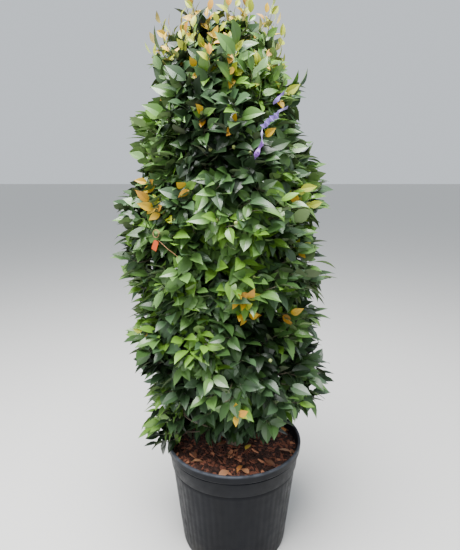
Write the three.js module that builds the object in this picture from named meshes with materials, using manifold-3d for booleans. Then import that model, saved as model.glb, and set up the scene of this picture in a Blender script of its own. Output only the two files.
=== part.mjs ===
// A camellia grown as a tall, dense column in a round nursery pot of about 110 litres.
// Millimetres, +Z up. The origin is the centre of the pot's flat underside.
// The side towards the viewer is -Y, and +X is the viewer's right.

import * as THREE from 'three';
import { mergeVertices } from 'three/addons/utils/BufferGeometryUtils.js';
import Module from 'manifold-3d';

const wasm = await Module();
wasm.setup();

const FULL_TURN = 2 * Math.PI;
const GOLDEN_ANGLE = Math.PI * (3 - Math.sqrt(5));
const UP = new THREE.Vector3(0, 0, 1);

// Clearances
const GAP = 0.3; // between two pieces that meet
const CELL_MARGIN = 1; // from a mass to each face of its own space
const LIMB_CLEARANCE = 4; // from leaves and twigs to trunk and boughs
const POT_CLEARANCE = 5; // from leaves and twigs to the pot's rim
const SHORTEST_EDGE = 0.1; // shorter edges, left where pieces are joined, are closed up
const GRID = 0.01; // spacing of the places that a vertex can have

// Pot: a tapering wall, fluted up to a step, then a plain band and a thicker lip
const POT = {
  height: 495,
  rimRadius: 300,
  baseRadius: 236.5,
  footBevel: 8,
  stepHeight: 388,
  stepRadius: 279,
  bandRadius: 284,
  bandTopRadius: 291,
  lipHeight: 36,
  lipRadius: 298.5,
  lipRounding: 5,
  wall: 4.5,
  lipWall: 11,
  floor: 5,
  sides: 40,
  fluteDepth: 2.5,
};
const SOIL = { edgeTop: 460, top: 465, flatRadius: 90 };

// Trunk: its foot stands on the soil, and its tip is inside the top of the crown
const TRUNK = {
  foot: SOIL.top + GAP,
  tip: 2040,
  footRadius: 24,
  tipRadius: 6,
  flare: 16,
  flareHeight: 38,
  flareLobes: 5,
  flareLobeDepth: 0.3,
  lean: 58,
  sway: 11,
  sides: 10,
  steps: 13,
  crowding: 1.4, // above 1, the rings lie closer together towards the foot
};

// Crown: height, and reach to the viewer's left and right of the pot's axis
const CROWN = [
  [430, 330, 280],
  [520, 430, 315],
  [640, 385, 320],
  [820, 415, 455],
  [1010, 475, 350],
  [1110, 435, 395],
  [1190, 450, 300],
  [1270, 475, 415],
  [1450, 490, 345],
  [1560, 505, 375],
  [1680, 400, 360],
  [1760, 435, 350],
  [1870, 430, 275],
  [1990, 305, 280],
  [2120, 345, 210],
  [2200, 345, 230],
  [2310, 230, 165],
];
const CROWN_TOP = 2310;
const CROWN_DEPTH = 0.96; // reach to the front and back, as a share of the reach sideways
const LOBE = { depth: 0.07, count: 3, height: 140 }; // how that reach swells and narrows round the crown
const CROWN_FOOT = { left: 440, right: 505, front: 600, back: 560 };

// Masses: tiers of foliage round the trunk, each turned so that it covers the seams of the one below
const TIERS = [
  { name: 'skirt', height: 640, count: 5, turn: 0.1 },
  { name: 'low', height: 935, count: 5, turn: 0.6 },
  { name: 'middle', height: 1230, count: 5, turn: 0.1 },
  { name: 'upper', height: 1520, count: 5, turn: 0.6 },
  { name: 'high', height: 1795, count: 4, turn: 0.3 },
  { name: 'top', height: 2045, count: 3, turn: 0.75 },
];
const TIER_SPREAD = 90; // how far the hearts of a tier lie apart in height, so that its seams aren't level
const HEART_DEPTH = 0.56; // where a mass's heart lies between the trunk and the crown's outline
const CREST_RISE = 165; // from the trunk's tip to the heart of the mass on it
// Bare space round the trunk, where only limbs run: its radius, and where it starts to narrow
const HOLLOW = { radius: 96, tipRadius: 55, narrowsFrom: 1700, top: 60, sides: 8, steps: 4 };
const CORE = {
  margin: 3, // from a core to each face of its space
  inset: 106, // from the dense inside of the crown to the outline of its leaves
  lumps: 26,
  rounding: 45,
  footRise: 28,
  top: 2140,
  sides: 14,
  rings: 9,
  neighbours: 900,
};

// Boughs: each leaves the trunk below its mass and rises to it
const BOUGH = {
  radius: 8.5,
  shareOfTrunk: 0.62,
  taper: 0.58,
  short: 14, // from its tip to the edge of the bare middle
  tipDrop: 55,
  rise: 120,
  stagger: 32,
  lowest: 100,
  lowestStagger: 16,
  elbow: 0.45, // where it bends most, as a share of its way out
  elbowRise: 0.35, // and of its way up
  sides: 5,
  steps: 2,
};

// Twigs and leaves
const STEM = { steps: 3, sides: 5, rise: 30, taper: 0.6, lowestTwig: 0.25, highestTwig: 0.92 };
const TWIG = {
  radius: 6,
  endRadius: 2.8,
  drop: 0.4, // from its end down to where it leaves the stem, as a share of its reach
  sag: 0.12,
  inLeaf: 0.12, // how deep it runs into the leaf at its end, as a share of the leaf
};
const SIDE_TWIGS = 59;
// The furthest tips, to the left (-1) and the right (1)
const FAR_TIPS = [
  { side: -1, height: 1560 },
  { side: -1, height: 1450 },
  { side: -1, height: 1250 },
  { side: -1, height: 1010 },
  { side: 1, height: 820 },
  { side: 1, height: 1110 },
  { side: 1, height: 1270 },
  { side: 1, height: 1560 },
];
const REACH_SPREAD = 22; // how far their ends lie apart in depth
const OVERREACH = 12; // how far a leaf may stand past the crown's outline
const FOOT_TWIGS = 9; // under the crown, close round the trunk
const FOOT_TWIG = { radius: 185, height: 535, spread: 30, turn: 0.4 };
const CREST_TWIGS = 14;
const CREST_RADIUS = 265;
const CREST_DROP = 170; // how far below the crown's top the lowest shoots of the crest end
const LEAF = { length: 140, width: 72, thickness: 4, fold: 7, droop: 9, widest: 0.44, facing: 0.5 };
// The way a leaf points: shares outwards, sideways and up, the last two with a random part
const HANGING = { outward: 0.42, sideways: 1.7, up: -0.05, upSpread: -0.7 };
const UPRIGHT = { outward: 0.35, sideways: 0.8, up: 1, upSpread: 0 };
// The leaves along a twig: how many, where they sit, and which way they point
const SIDE_LEAF = { count: 2, first: 0.06, spacing: 0.16, nearest: 0.15 };
const SIDE_LEAF_TURN = { spread: 1.6, outward: 0.2, outwardSpread: 0.3, up: 0.6, drop: 0.3 };
const ALONG_TWIG = { hanging: 0.25, upright: 0.6 };
const CORE_LEAVES = { count: 240, sunk: 22, above: 50, below: 20 }; // that stand straight out of the cores
const SHOOT_LEAF = 0.74; // size of a leaf on the open shoots of the top, to one lower down
// A leaf that doesn't fit is tried again: turned, a little smaller and nearer the middle of its mass
const SEEDS_A_MASS = 20;
const TRIES = 10;
const TRY_SHRINK = 0.035;
const TRY_SHIFT = 0.03;

const COLOURS = { pot: 0x33383d, soil: 0x4a2f24, bark: 0x6d6256 };
const ROUGHNESS = { pot: 0.55, soil: 0.95, bark: 0.85, leaves: 0.45 };
const LEAF_GREENS = [0x2c4f2e, 0x375c33, 0x284a33];

// A random number from 0 to 1 at each call, the same row of numbers for the same seed.
function seeded(seed) {
  let state = seed >>> 0;
  return () => {
    state = (state + 0x6d2b79f5) >>> 0;
    let mixed = Math.imul(state ^ (state >>> 15), state | 1);
    mixed ^= mixed + Math.imul(mixed ^ (mixed >>> 7), mixed | 61);
    return ((mixed ^ (mixed >>> 14)) >>> 0) / 4294967296;
  };
}

function toSolid(geometry) {
  geometry.deleteAttribute('normal');
  geometry.deleteAttribute('uv');
  const merged = mergeVertices(geometry);
  return new wasm.Manifold(
    new wasm.Mesh({
      numProp: 3,
      vertProperties: merged.attributes.position.array,
      triVerts: new Uint32Array(merged.index.array),
    }),
  );
}

// The geometry of a solid. Its vertices lie on a grid, so that none is a hair away from another,
// and there is none where that would open the surface or pinch it.
function toGeometry(solid) {
  const { places, triangles } = onGrid(solid.getMesh(), GRID);
  if (!closed(triangles)) return null;
  const geometry = new THREE.BufferGeometry();
  geometry.setAttribute('position', new THREE.Float32BufferAttribute(places, 3));
  geometry.setIndex(triangles);
  return geometry;
}

function onGrid(mesh, grid) {
  const places = [];
  const numbers = new Map();
  const numberOf = (vertex) => {
    const start = 3 * vertex;
    const steps = [...mesh.vertProperties.slice(start, start + 3)].map((v) => Math.round(v / grid));
    const key = steps.join();
    if (!numbers.has(key)) {
      numbers.set(key, numbers.size);
      places.push(...steps.map((step) => step * grid));
    }
    return numbers.get(key);
  };
  const triangles = [];
  for (let i = 0; i < mesh.triVerts.length; i += 3) {
    const [a, b, c] = [0, 1, 2].map((corner) => numberOf(mesh.triVerts[i + corner]));
    if (a !== b && b !== c && c !== a) triangles.push(a, b, c);
  }
  return { places, triangles };
}

// Whether each edge joins two faces that run along it in opposite directions, and no more.
function closed(triangles) {
  const edges = new Set();
  for (let i = 0; i < triangles.length; i += 3) {
    for (let corner = 0; corner < 3; corner += 1) {
      const key = `${triangles[i + corner]},${triangles[i + ((corner + 1) % 3)]}`;
      if (edges.has(key)) return false;
      edges.add(key);
    }
  }
  return [...edges].every((key) => edges.has(key.split(',').reverse().join()));
}

// One body from several that overlap. A sealed hollow and a loose scrap are each a shell apart,
// so keeping the largest shell fills the one and drops the other.
function joined(solids) {
  const whole = solids.reduce((sum, solid) => sum.add(solid));
  const shells = whole.simplify(SHORTEST_EDGE).decompose();
  return shells.reduce((best, shell) => (shell.volume() > best.volume() ? shell : best));
}

// Crown outline

function crownReach(height) {
  const last = CROWN.length - 1;
  const found = CROWN.findIndex(([rowHeight]) => rowHeight > height);
  const upper = found < 0 ? last : Math.max(found, 1);
  const [lowHeight, lowLeft, lowRight] = CROWN[upper - 1];
  const [highHeight, highLeft, highRight] = CROWN[upper];
  const share = THREE.MathUtils.clamp((height - lowHeight) / (highHeight - lowHeight), 0, 1);
  const left = THREE.MathUtils.lerp(lowLeft, highLeft, share);
  const right = THREE.MathUtils.lerp(lowRight, highRight, share);
  return { middle: (right - left) / 2, half: (right + left) / 2 };
}

function crownLobes(angle, height) {
  return CROWN_DEPTH * (1 + LOBE.depth * Math.sin(LOBE.count * angle + height / LOBE.height));
}

function outlinePoint(angle, height) {
  const { middle, half } = crownReach(height);
  const depth = half * crownLobes(angle, height);
  return new THREE.Vector3(middle + half * Math.cos(angle), depth * Math.sin(angle), height);
}

// The height at which the foliage ends below: it hangs lowest past the left of the rim.
function crownFoot(angle) {
  const sideways = Math.cos(angle) ** 2;
  const side = Math.cos(angle) < 0 ? CROWN_FOOT.left : CROWN_FOOT.right;
  const end = Math.sin(angle) < 0 ? CROWN_FOOT.front : CROWN_FOOT.back;
  return side * sideways + end * (1 - sideways);
}

function insideCrown(point, inset) {
  const { middle, half } = crownReach(point.z);
  const angle = Math.atan2(point.y, point.x - middle);
  const across = (point.x - middle) / (half - inset);
  const deep = point.y / (half * crownLobes(angle, point.z) - inset);
  return across * across + deep * deep < 1;
}

// Limbs

// Bends a bar that stands along Y, one unit long and one in radius, to the stations it is given.
function bent(geometry, stationAt) {
  const position = geometry.attributes.position;
  for (let i = 0; i < position.count; i += 1) {
    const station = stationAt(position.getY(i) + 0.5);
    const place = station.centre.clone();
    place.addScaledVector(station.side, position.getX(i) * station.radius);
    place.addScaledVector(station.front, position.getZ(i) * station.radius);
    position.setXYZ(i, place.x, place.y, place.z);
  }
  return geometry;
}

function curveStation(curve, along, radius) {
  const chord = curve.getPoint(1).sub(curve.getPoint(0));
  const level = new THREE.Vector3(-chord.y, chord.x, 0);
  if (level.length() < 1) level.set(1, 0, 0);
  const tangent = curve.getTangent(along);
  const side = level.addScaledVector(tangent, -level.dot(tangent)).normalize();
  const front = new THREE.Vector3().crossVectors(side, tangent);
  return { centre: curve.getPoint(along), side, front, radius };
}

// A tapering limb along a curve, with flat ends.
function limb(curve, startRadius, endRadius, sides, steps) {
  const bar = new THREE.CylinderGeometry(1, 1, 1, sides, steps);
  return bent(bar, (along) =>
    curveStation(curve, along, THREE.MathUtils.lerp(startRadius, endRadius, along)),
  );
}

// A three-sided twig along a curve.
function twigBar(curve, startRadius, endRadius, steps) {
  const corners = [0, 1, 2].map((i) => {
    const angle = (FULL_TURN * i) / 3;
    return new THREE.Vector2(Math.cos(angle), Math.sin(angle));
  });
  const settings = { depth: 1, steps, bevelEnabled: false };
  const bar = new THREE.ExtrudeGeometry(new THREE.Shape(corners), settings);
  bar.rotateX(-Math.PI / 2).translate(0, -0.5, 0);
  return bent(bar, (along) =>
    curveStation(curve, along, THREE.MathUtils.lerp(startRadius, endRadius, along)),
  );
}

function trunkAxis(height) {
  const rise = (height - TRUNK.foot) / (TRUNK.tip - TRUNK.foot);
  return new THREE.Vector3(
    -TRUNK.lean * rise + TRUNK.sway * Math.sin(rise * FULL_TURN),
    TRUNK.sway * Math.sin(rise * Math.PI * 3),
    height,
  );
}

function trunkRadius(height) {
  const rise = (height - TRUNK.foot) / (TRUNK.tip - TRUNK.foot);
  return THREE.MathUtils.lerp(TRUNK.footRadius, TRUNK.tipRadius, rise);
}

function hollowRadius(height) {
  const share = (height - HOLLOW.narrowsFrom) / (TRUNK.tip - HOLLOW.narrowsFrom);
  const narrowing = THREE.MathUtils.clamp(share, 0, 1);
  return THREE.MathUtils.lerp(HOLLOW.radius, HOLLOW.tipRadius, narrowing);
}

// The trunk, with level rings, a lobed root flare and a flat cut at the soil. Grown makes it fatter.
function trunkSolid(grown = 0) {
  const bar = new THREE.CylinderGeometry(1, 1, 1, TRUNK.sides, TRUNK.steps);
  const position = bar.attributes.position;
  for (let i = 0; i < position.count; i += 1) {
    const along = (position.getY(i) + 0.5) ** TRUNK.crowding;
    const height = THREE.MathUtils.lerp(TRUNK.foot, TRUNK.tip, along);
    const centre = trunkAxis(height);
    const angle = Math.atan2(-position.getZ(i), position.getX(i));
    const lobes = 1 + TRUNK.flareLobeDepth * Math.cos(angle * TRUNK.flareLobes);
    const flare = TRUNK.flare * lobes * Math.exp(-(height - TRUNK.foot) / TRUNK.flareHeight);
    const radius = trunkRadius(height) + flare + grown;
    const ring = Math.hypot(position.getX(i), position.getZ(i));
    centre.x += Math.cos(angle) * ring * radius;
    centre.y += Math.sin(angle) * ring * radius;
    position.setXYZ(i, centre.x, centre.y, centre.z);
  }
  return toSolid(bar);
}

// Masses and their spaces

function tierMasses() {
  const masses = [];
  TIERS.forEach((tier, level) => {
    for (let i = 0; i < tier.count; i += 1) {
      const order = (i * 2) % tier.count;
      const angle = (FULL_TURN * (i + tier.turn)) / tier.count;
      const height = tier.height + TIER_SPREAD * (order / (tier.count - 1) - 0.5);
      const axis = trunkAxis(Math.min(height, TRUNK.tip));
      axis.z = height;
      const edge = outlinePoint(angle, height);
      const heart = axis.clone().lerp(edge, HEART_DEPTH);
      const outward = heart.clone().sub(axis).normalize();
      masses.push({
        name: `${tier.name}_${i + 1}`,
        level,
        heart,
        face: edge,
        bough: boughOf(heart, outward, order),
      });
    }
  });
  return masses;
}

// The bough that carries a mass: a curve from inside the trunk to the edge of the bare middle.
function boughOf(heart, outward, order) {
  const tip = trunkAxis(Math.min(heart.z - BOUGH.tipDrop, TRUNK.tip));
  tip.z = heart.z - BOUGH.tipDrop;
  tip.addScaledVector(outward, hollowRadius(tip.z) - BOUGH.short);
  const below = BOUGH.rise + BOUGH.stagger * order;
  const lowest = TRUNK.foot + BOUGH.lowest - BOUGH.lowestStagger * order;
  const foot = trunkAxis(Math.max(tip.z - below, lowest));
  const elbow = foot.clone().lerp(tip, BOUGH.elbow);
  elbow.z = THREE.MathUtils.lerp(foot.z, tip.z, BOUGH.elbowRise);
  const radius = Math.min(BOUGH.radius, BOUGH.shareOfTrunk * trunkRadius(foot.z));
  return {
    curve: new THREE.QuadraticBezierCurve3(foot, elbow, tip),
    radius,
    tipRadius: radius * BOUGH.taper,
  };
}

// The mass at the very top grows on from the trunk's own tip.
function crestMass() {
  const tip = trunkAxis(TRUNK.tip);
  const heart = tip.clone().addScaledVector(UP, CREST_RISE);
  return { name: 'crest', level: TIERS.length, heart, face: heart.clone().setZ(CROWN_TOP) };
}

const masses = [...tierMasses(), crestMass()];
const crownInside = denseCrown();

// Each mass keeps to the points that are nearer to its own heart than to any other.
function spareRoom(mass, point) {
  const own = point.distanceToSquared(mass.heart);
  let room = Infinity;
  for (const other of masses) {
    if (other === mass) continue;
    const apart = mass.heart.distanceTo(other.heart);
    room = Math.min(room, (point.distanceToSquared(other.heart) - own) / (2 * apart));
  }
  return room;
}

const limbSpots = [];
for (let height = TRUNK.foot; height <= TRUNK.tip; height += 12) {
  limbSpots.push({ centre: trunkAxis(height), radius: trunkRadius(height) });
}
for (const { bough } of masses) {
  if (!bough) continue;
  for (const centre of bough.curve.getPoints(20)) limbSpots.push({ centre, radius: bough.radius });
}

function clearOfLimbs(point) {
  return limbSpots.every(
    ({ centre, radius }) => point.distanceTo(centre) > radius + LIMB_CLEARANCE,
  );
}

function clearOfPot(point) {
  const abovePot = point.z > POT.height + POT_CLEARANCE;
  return abovePot || Math.hypot(point.x, point.y) > POT.rimRadius + POT_CLEARANCE;
}

function fits(mass, point) {
  return spareRoom(mass, point) > CELL_MARGIN && clearOfPot(point) && clearOfLimbs(point);
}

// Foliage

// The dense inside of the whole crown: a lumpy column within the outline, hollow round the trunk.
function denseCrown() {
  const random = seeded(5);
  const bar = new THREE.CylinderGeometry(1, 1, 1, CORE.sides, CORE.rings);
  bar.deleteAttribute('normal');
  bar.deleteAttribute('uv');
  const column = mergeVertices(bar);
  const position = column.attributes.position;
  for (let i = 0; i < position.count; i += 1) {
    const angle = Math.atan2(-position.getZ(i), position.getX(i));
    const along = position.getY(i) + 0.5;
    const foot = Math.max(crownFoot(angle), POT.height) + CORE.footRise;
    const height = THREE.MathUtils.lerp(foot, CORE.top, along);
    const edge = outlinePoint(angle, height);
    const centre = new THREE.Vector3(crownReach(height).middle, 0, height);
    const rounding = along < 0.01 || along > 0.99 ? CORE.rounding : 0;
    const inset = CORE.inset + rounding + CORE.lumps * (random() - 0.5);
    const onRim = Math.hypot(position.getX(i), position.getZ(i)) > 0.5;
    const reach = onRim ? 1 - inset / edge.distanceTo(centre) : 0;
    const place = centre.lerp(edge, reach);
    position.setXYZ(i, place.x, place.y, place.z);
  }
  return toSolid(column).subtract(hollowSolid());
}

// The bare middle of the crown, as a tube round the trunk for the cores to be cut clear of.
function hollowSolid() {
  const bar = new THREE.CylinderGeometry(1, 1, 1, HOLLOW.sides, HOLLOW.steps);
  const round = Math.cos(Math.PI / HOLLOW.sides);
  const up = new THREE.Vector3(0, 1, 0);
  return toSolid(
    bent(bar, (along) => {
      const height = THREE.MathUtils.lerp(TRUNK.foot, TRUNK.tip + HOLLOW.top, along);
      const centre = trunkAxis(Math.min(height, TRUNK.tip)).setZ(height);
      const side = new THREE.Vector3(1, 0, 0);
      return { centre, side, front: up.clone().negate(), radius: hollowRadius(height) / round };
    }),
  );
}

// The core of a mass: the part of the dense crown that lies in its space.
function coreSolid(mass) {
  let core = crownInside;
  for (const other of masses) {
    const across = other.heart.clone().sub(mass.heart);
    if (other === mass || across.length() > CORE.neighbours) continue;
    const middle = mass.heart.clone().addScaledVector(across, 0.5);
    const inward = across.normalize().negate();
    core = core.trimByPlane(inward.toArray(), inward.dot(middle) + CORE.margin);
  }
  return core;
}

// A leaf of eight faces: pointed, folded along its midrib, with its tip bent down.
function leafGeometry(root, direction, face, scale) {
  const side = new THREE.Vector3().crossVectors(direction, face).normalize();
  const normal = new THREE.Vector3().crossVectors(side, direction);
  const leaf = new THREE.OctahedronGeometry(1);
  const position = leaf.attributes.position;
  for (let i = 0; i < position.count; i += 1) {
    const across = Math.round(position.getX(i));
    const end = Math.round(position.getY(i));
    const raised = Math.round(position.getZ(i));
    const along = end === 0 ? LEAF.widest : (end + 1) / 2;
    const lift = (raised * LEAF.thickness) / 2 + Math.abs(across) * LEAF.fold;
    const drop = end > 0 ? LEAF.droop : 0;
    const place = root.clone();
    place.addScaledVector(direction, along * LEAF.length * scale);
    place.addScaledVector(side, (across * LEAF.width * scale) / 2);
    place.addScaledVector(normal, (lift - drop) * scale);
    position.setXYZ(i, place.x, place.y, place.z);
  }
  return leaf;
}

function leafFits(mass, geometry) {
  const position = geometry.attributes.position;
  const corners = [];
  for (let i = 0; i < position.count; i += 1) {
    corners.push(new THREE.Vector3().fromBufferAttribute(position, i));
  }
  const between = [];
  for (let i = 0; i < corners.length; i += 3) {
    between.push(corners[i].clone().lerp(corners[i + 1], 0.5));
    between.push(corners[i + 1].clone().lerp(corners[i + 2], 0.5));
    between.push(corners[i + 2].clone().lerp(corners[i], 0.5));
  }
  return [...corners, ...between].every((point) => fits(mass, point) && insideCrown(point, -OVERREACH));
}

// The upper face of a leaf looks outwards and to the sky.
function leafFace(direction, outward) {
  const face = outward.clone().addScaledVector(UP, LEAF.facing);
  return face.addScaledVector(direction, -face.dot(direction)).normalize();
}

function outwardAt(point) {
  const { middle } = crownReach(point.z);
  return new THREE.Vector3(point.x - middle, point.y, 0).normalize();
}

// Where twigs end: evenly over the crown's side, and as upright shoots over its crest.
function twigTargets() {
  const random = seeded(11);
  const targets = [];
  for (let i = 0; i < SIDE_TWIGS; i += 1) {
    const angle = i * GOLDEN_ANGLE;
    const share = (i + 0.5) / SIDE_TWIGS;
    const height = THREE.MathUtils.lerp(crownFoot(angle), CROWN_TOP - CREST_DROP, share);
    const place = outlinePoint(angle, height);
    const outward = outwardAt(place);
    place.addScaledVector(outward, -REACH_SPREAD * random());
    targets.push({ place, outward, shoot: false });
  }
  for (const { side, height } of FAR_TIPS) {
    const place = outlinePoint(side > 0 ? 0 : Math.PI, height);
    targets.push({ place, outward: new THREE.Vector3(side, 0, 0), shoot: false });
  }
  for (let i = 0; i < FOOT_TWIGS; i += 1) {
    const angle = (FULL_TURN * (i + FOOT_TWIG.turn * random())) / FOOT_TWIGS;
    const outward = new THREE.Vector3(Math.cos(angle), Math.sin(angle), 0);
    const place = outward.clone().multiplyScalar(FOOT_TWIG.radius);
    place.z = FOOT_TWIG.height + FOOT_TWIG.spread * random();
    targets.push({ place, outward, shoot: false });
  }
  const { middle } = crownReach(CROWN_TOP);
  for (let i = 0; i < CREST_TWIGS; i += 1) {
    const angle = i * GOLDEN_ANGLE;
    const share = Math.sqrt((i + 0.5) / CREST_TWIGS);
    const height = CROWN_TOP - CREST_DROP * share * random();
    const place = new THREE.Vector3(middle, 0, height);
    const outward = new THREE.Vector3(Math.cos(angle), Math.sin(angle), 0);
    place.addScaledVector(outward, CREST_RADIUS * share);
    targets.push({ place, outward, shoot: true });
  }
  return targets;
}

// Where leaves stand out of the cores: evenly over the dense inside of the crown.
function leafSpots() {
  const spots = [];
  for (let i = 0; i < CORE_LEAVES.count; i += 1) {
    const angle = (i + 0.5) * GOLDEN_ANGLE;
    const share = (i + 0.5) / CORE_LEAVES.count;
    const lowest = Math.max(crownFoot(angle), POT.height) + CORE_LEAVES.above;
    const height = THREE.MathUtils.lerp(lowest, CORE.top - CORE_LEAVES.below, share);
    const place = outlinePoint(angle, height);
    const outward = outwardAt(place);
    place.addScaledVector(outward, -CORE.inset - CORE_LEAVES.sunk);
    spots.push({ place, outward, shoot: false });
  }
  return spots;
}

function coreLeaf(mass, spot, random) {
  for (let i = 0; i < TRIES; i += 1) {
    const direction = terminalDirection(spot, random);
    const face = leafFace(direction, spot.outward);
    const leaf = leafGeometry(spot.place, direction, face, 1 - i * TRY_SHRINK);
    if (leafFits(mass, leaf)) return [leaf];
  }
  return [];
}

function terminalDirection(target, random) {
  const sideways = new THREE.Vector3(-target.outward.y, target.outward.x, 0);
  const pose = target.shoot ? UPRIGHT : HANGING;
  const direction = target.outward.clone().multiplyScalar(pose.outward);
  direction.addScaledVector(sideways, pose.sideways * (random() - 0.5));
  direction.addScaledVector(UP, pose.up + pose.upSpread * random());
  return direction.normalize();
}

// A twig from the stem to its target, with the leaves that end it and stand off it.
function growTwig(mass, stem, target, random) {
  const scale = target.shoot ? SHOOT_LEAF : 1;
  const length = LEAF.length * scale;
  let direction;
  let tip;
  for (let i = 0; i < TRIES && !tip; i += 1) {
    direction = terminalDirection(target, random);
    const root = target.place.clone().lerp(mass.face, i * TRY_SHIFT);
    root.addScaledVector(direction, -length);
    const face = leafFace(direction, target.outward);
    const leaf = leafGeometry(root, direction, face, scale * (1 - i * TRY_SHRINK));
    if (leafFits(mass, leaf)) tip = { leaf, root };
  }
  if (!tip) return [];
  const drop = TWIG.drop * tip.root.distanceTo(mass.heart);
  const node = stemNode(stem, tip.root.z - drop);
  const end = tip.root.clone().addScaledVector(direction, length * TWIG.inLeaf);
  const elbow = node.clone().lerp(end, 0.5);
  elbow.z -= TWIG.sag * node.distanceTo(end);
  const curve = new THREE.QuadraticBezierCurve3(node, elbow, end);
  if (!curve.getPoints(8).every((point) => fits(mass, point))) return [];
  const twig = twigBar(curve, TWIG.radius * scale, TWIG.endRadius * scale, target.shoot ? 2 : 1);
  return [twig, tip.leaf, ...sideLeaves(mass, curve, target, scale, random)];
}

function sideDirection(target, tangent, level, side, random) {
  const turn = side + SIDE_LEAF_TURN.spread * (random() - 0.5);
  const outward = SIDE_LEAF_TURN.outward + SIDE_LEAF_TURN.outwardSpread * random();
  const direction = tangent
    .clone()
    .multiplyScalar(target.shoot ? ALONG_TWIG.upright : ALONG_TWIG.hanging);
  direction.addScaledVector(level, Math.cos(turn));
  direction.addScaledVector(target.outward, outward);
  direction.addScaledVector(UP, Math.sin(turn) * SIDE_LEAF_TURN.up - SIDE_LEAF_TURN.drop);
  return direction.normalize();
}

function stemNode(stem, height) {
  const foot = stem.getPoint(0);
  const head = stem.getPoint(1);
  const share = (height - foot.z) / Math.max(head.z - foot.z, 1);
  return stem.getPoint(THREE.MathUtils.clamp(share, STEM.lowestTwig, STEM.highestTwig));
}

function sideLeaves(mass, curve, target, scale, random) {
  const leaves = [];
  const length = curve.getLength();
  for (let j = 1; j <= SIDE_LEAF.count; j += 1) {
    const back = LEAF.length * (SIDE_LEAF.first + SIDE_LEAF.spacing * j) * scale;
    const along = Math.max(1 - back / length, SIDE_LEAF.nearest);
    const root = curve.getPoint(along);
    const tangent = curve.getTangent(along);
    const level = new THREE.Vector3().crossVectors(tangent, UP).normalize();
    for (let i = 0; i < TRIES; i += 1) {
      const side = (j % 2) * Math.PI;
      const direction = sideDirection(target, tangent, level, side, random);
      const face = leafFace(direction, target.outward);
      const leaf = leafGeometry(root, direction, face, scale * (1 - i * TRY_SHRINK));
      if (leafFits(mass, leaf)) {
        leaves.push(leaf);
        break;
      }
    }
  }
  return leaves;
}

// The stem of a mass starts at the tip of its bough, or of the trunk, and ends past its heart.
function stemCurve(mass) {
  if (!mass.bough) {
    const foot = trunkAxis(TRUNK.tip).addScaledVector(UP, GAP);
    const head = foot.clone().addScaledVector(UP, CREST_RISE);
    return new THREE.LineCurve3(foot, head);
  }
  const along = mass.bough.curve.getTangent(1);
  const foot = mass.bough.curve.getPoint(1).addScaledVector(along, GAP);
  const head = mass.heart.clone().addScaledVector(UP, STEM.rise);
  const elbow = foot.clone().addScaledVector(along, foot.distanceTo(head) * 0.5);
  return new THREE.QuadraticBezierCurve3(foot, elbow, head);
}

const targets = twigTargets();
const spots = leafSpots();

// A mass whose joins don't come out clean is grown again from the next seed.
function massGeometry(mass) {
  for (let attempt = 0; attempt < SEEDS_A_MASS; attempt += 1) {
    const random = seeded(SEEDS_A_MASS * masses.indexOf(mass) + attempt);
    const geometry = toGeometry(massSolid(mass, random));
    if (geometry) return geometry;
  }
  throw new Error(`${mass.name} did not come out clean`);
}

function massSolid(mass, random) {
  const stem = stemCurve(mass);
  const radius = mass.bough ? mass.bough.tipRadius : TRUNK.tipRadius;
  const pieces = [toSolid(limb(stem, radius, radius * STEM.taper, STEM.sides, STEM.steps))];
  if (mass.bough) pieces.push(coreSolid(mass));
  for (const target of targets) {
    if (spareRoom(mass, target.place) <= 0) continue;
    pieces.push(...growTwig(mass, stem, target, random).map(toSolid));
  }
  for (const spot of spots) {
    if (!mass.bough || spareRoom(mass, spot.place) <= 0) continue;
    pieces.push(...coreLeaf(mass, spot, random).map(toSolid));
  }
  return joined(pieces);
}

// Pot and soil

function lathe(outline, sides) {
  const points = outline.map(([radius, height]) => new THREE.Vector2(radius, height));
  return new THREE.LatheGeometry(points, sides).rotateX(Math.PI / 2);
}

// The pot's outer wall, from the underside to the lip, then its inner wall back to the axis.
function potGeometry() {
  const lipFoot = POT.height - POT.lipHeight;
  const innerRim = POT.rimRadius - POT.lipWall;
  const outline = [
    [0, 0],
    [POT.baseRadius - POT.footBevel, 0],
    [POT.baseRadius, POT.footBevel],
    [POT.stepRadius, POT.stepHeight],
    [POT.bandRadius, POT.stepHeight + 4],
    [POT.bandTopRadius, lipFoot],
    [POT.lipRadius, lipFoot],
    [POT.rimRadius, POT.height - POT.lipRounding],
    [POT.rimRadius - POT.lipRounding, POT.height],
    [innerRim + POT.lipRounding / 2, POT.height],
    [innerRim, POT.height - POT.lipRounding],
    [innerWall(lipFoot), lipFoot],
    [innerWall(POT.floor), POT.floor],
    [0, POT.floor],
  ];
  const geometry = lathe(outline, POT.sides);
  flute(geometry);
  return geometry;
}

function innerWall(height) {
  const slope = (POT.stepRadius - POT.baseRadius) / POT.stepHeight;
  return POT.baseRadius + slope * height - POT.wall - POT.fluteDepth;
}

// Every second line of the fluted wall is pressed in. Foot and step keep to the round.
function flute(geometry) {
  const position = geometry.attributes.position;
  for (let i = 0; i < position.count; i += 1) {
    const radius = Math.hypot(position.getX(i), position.getY(i));
    const height = position.getZ(i);
    const onWall = height > 1 && height < POT.stepHeight + 1 && radius > innerWall(height) + 1;
    const line = Math.round((Math.atan2(position.getY(i), position.getX(i)) / FULL_TURN) * POT.sides);
    if (!onWall || line % 2 === 0) continue;
    const pressed = (radius - POT.fluteDepth) / radius;
    position.setXYZ(i, position.getX(i) * pressed, position.getY(i) * pressed, height);
  }
}

function soilGeometry() {
  const foot = POT.floor + GAP;
  return lathe(
    [
      [0, foot],
      [innerWall(foot) - GAP, foot],
      [innerWall(SOIL.edgeTop) - GAP, SOIL.edgeTop],
      [SOIL.flatRadius, SOIL.top],
      [0, SOIL.top],
    ],
    POT.sides,
  );
}

// Assembly

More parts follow.
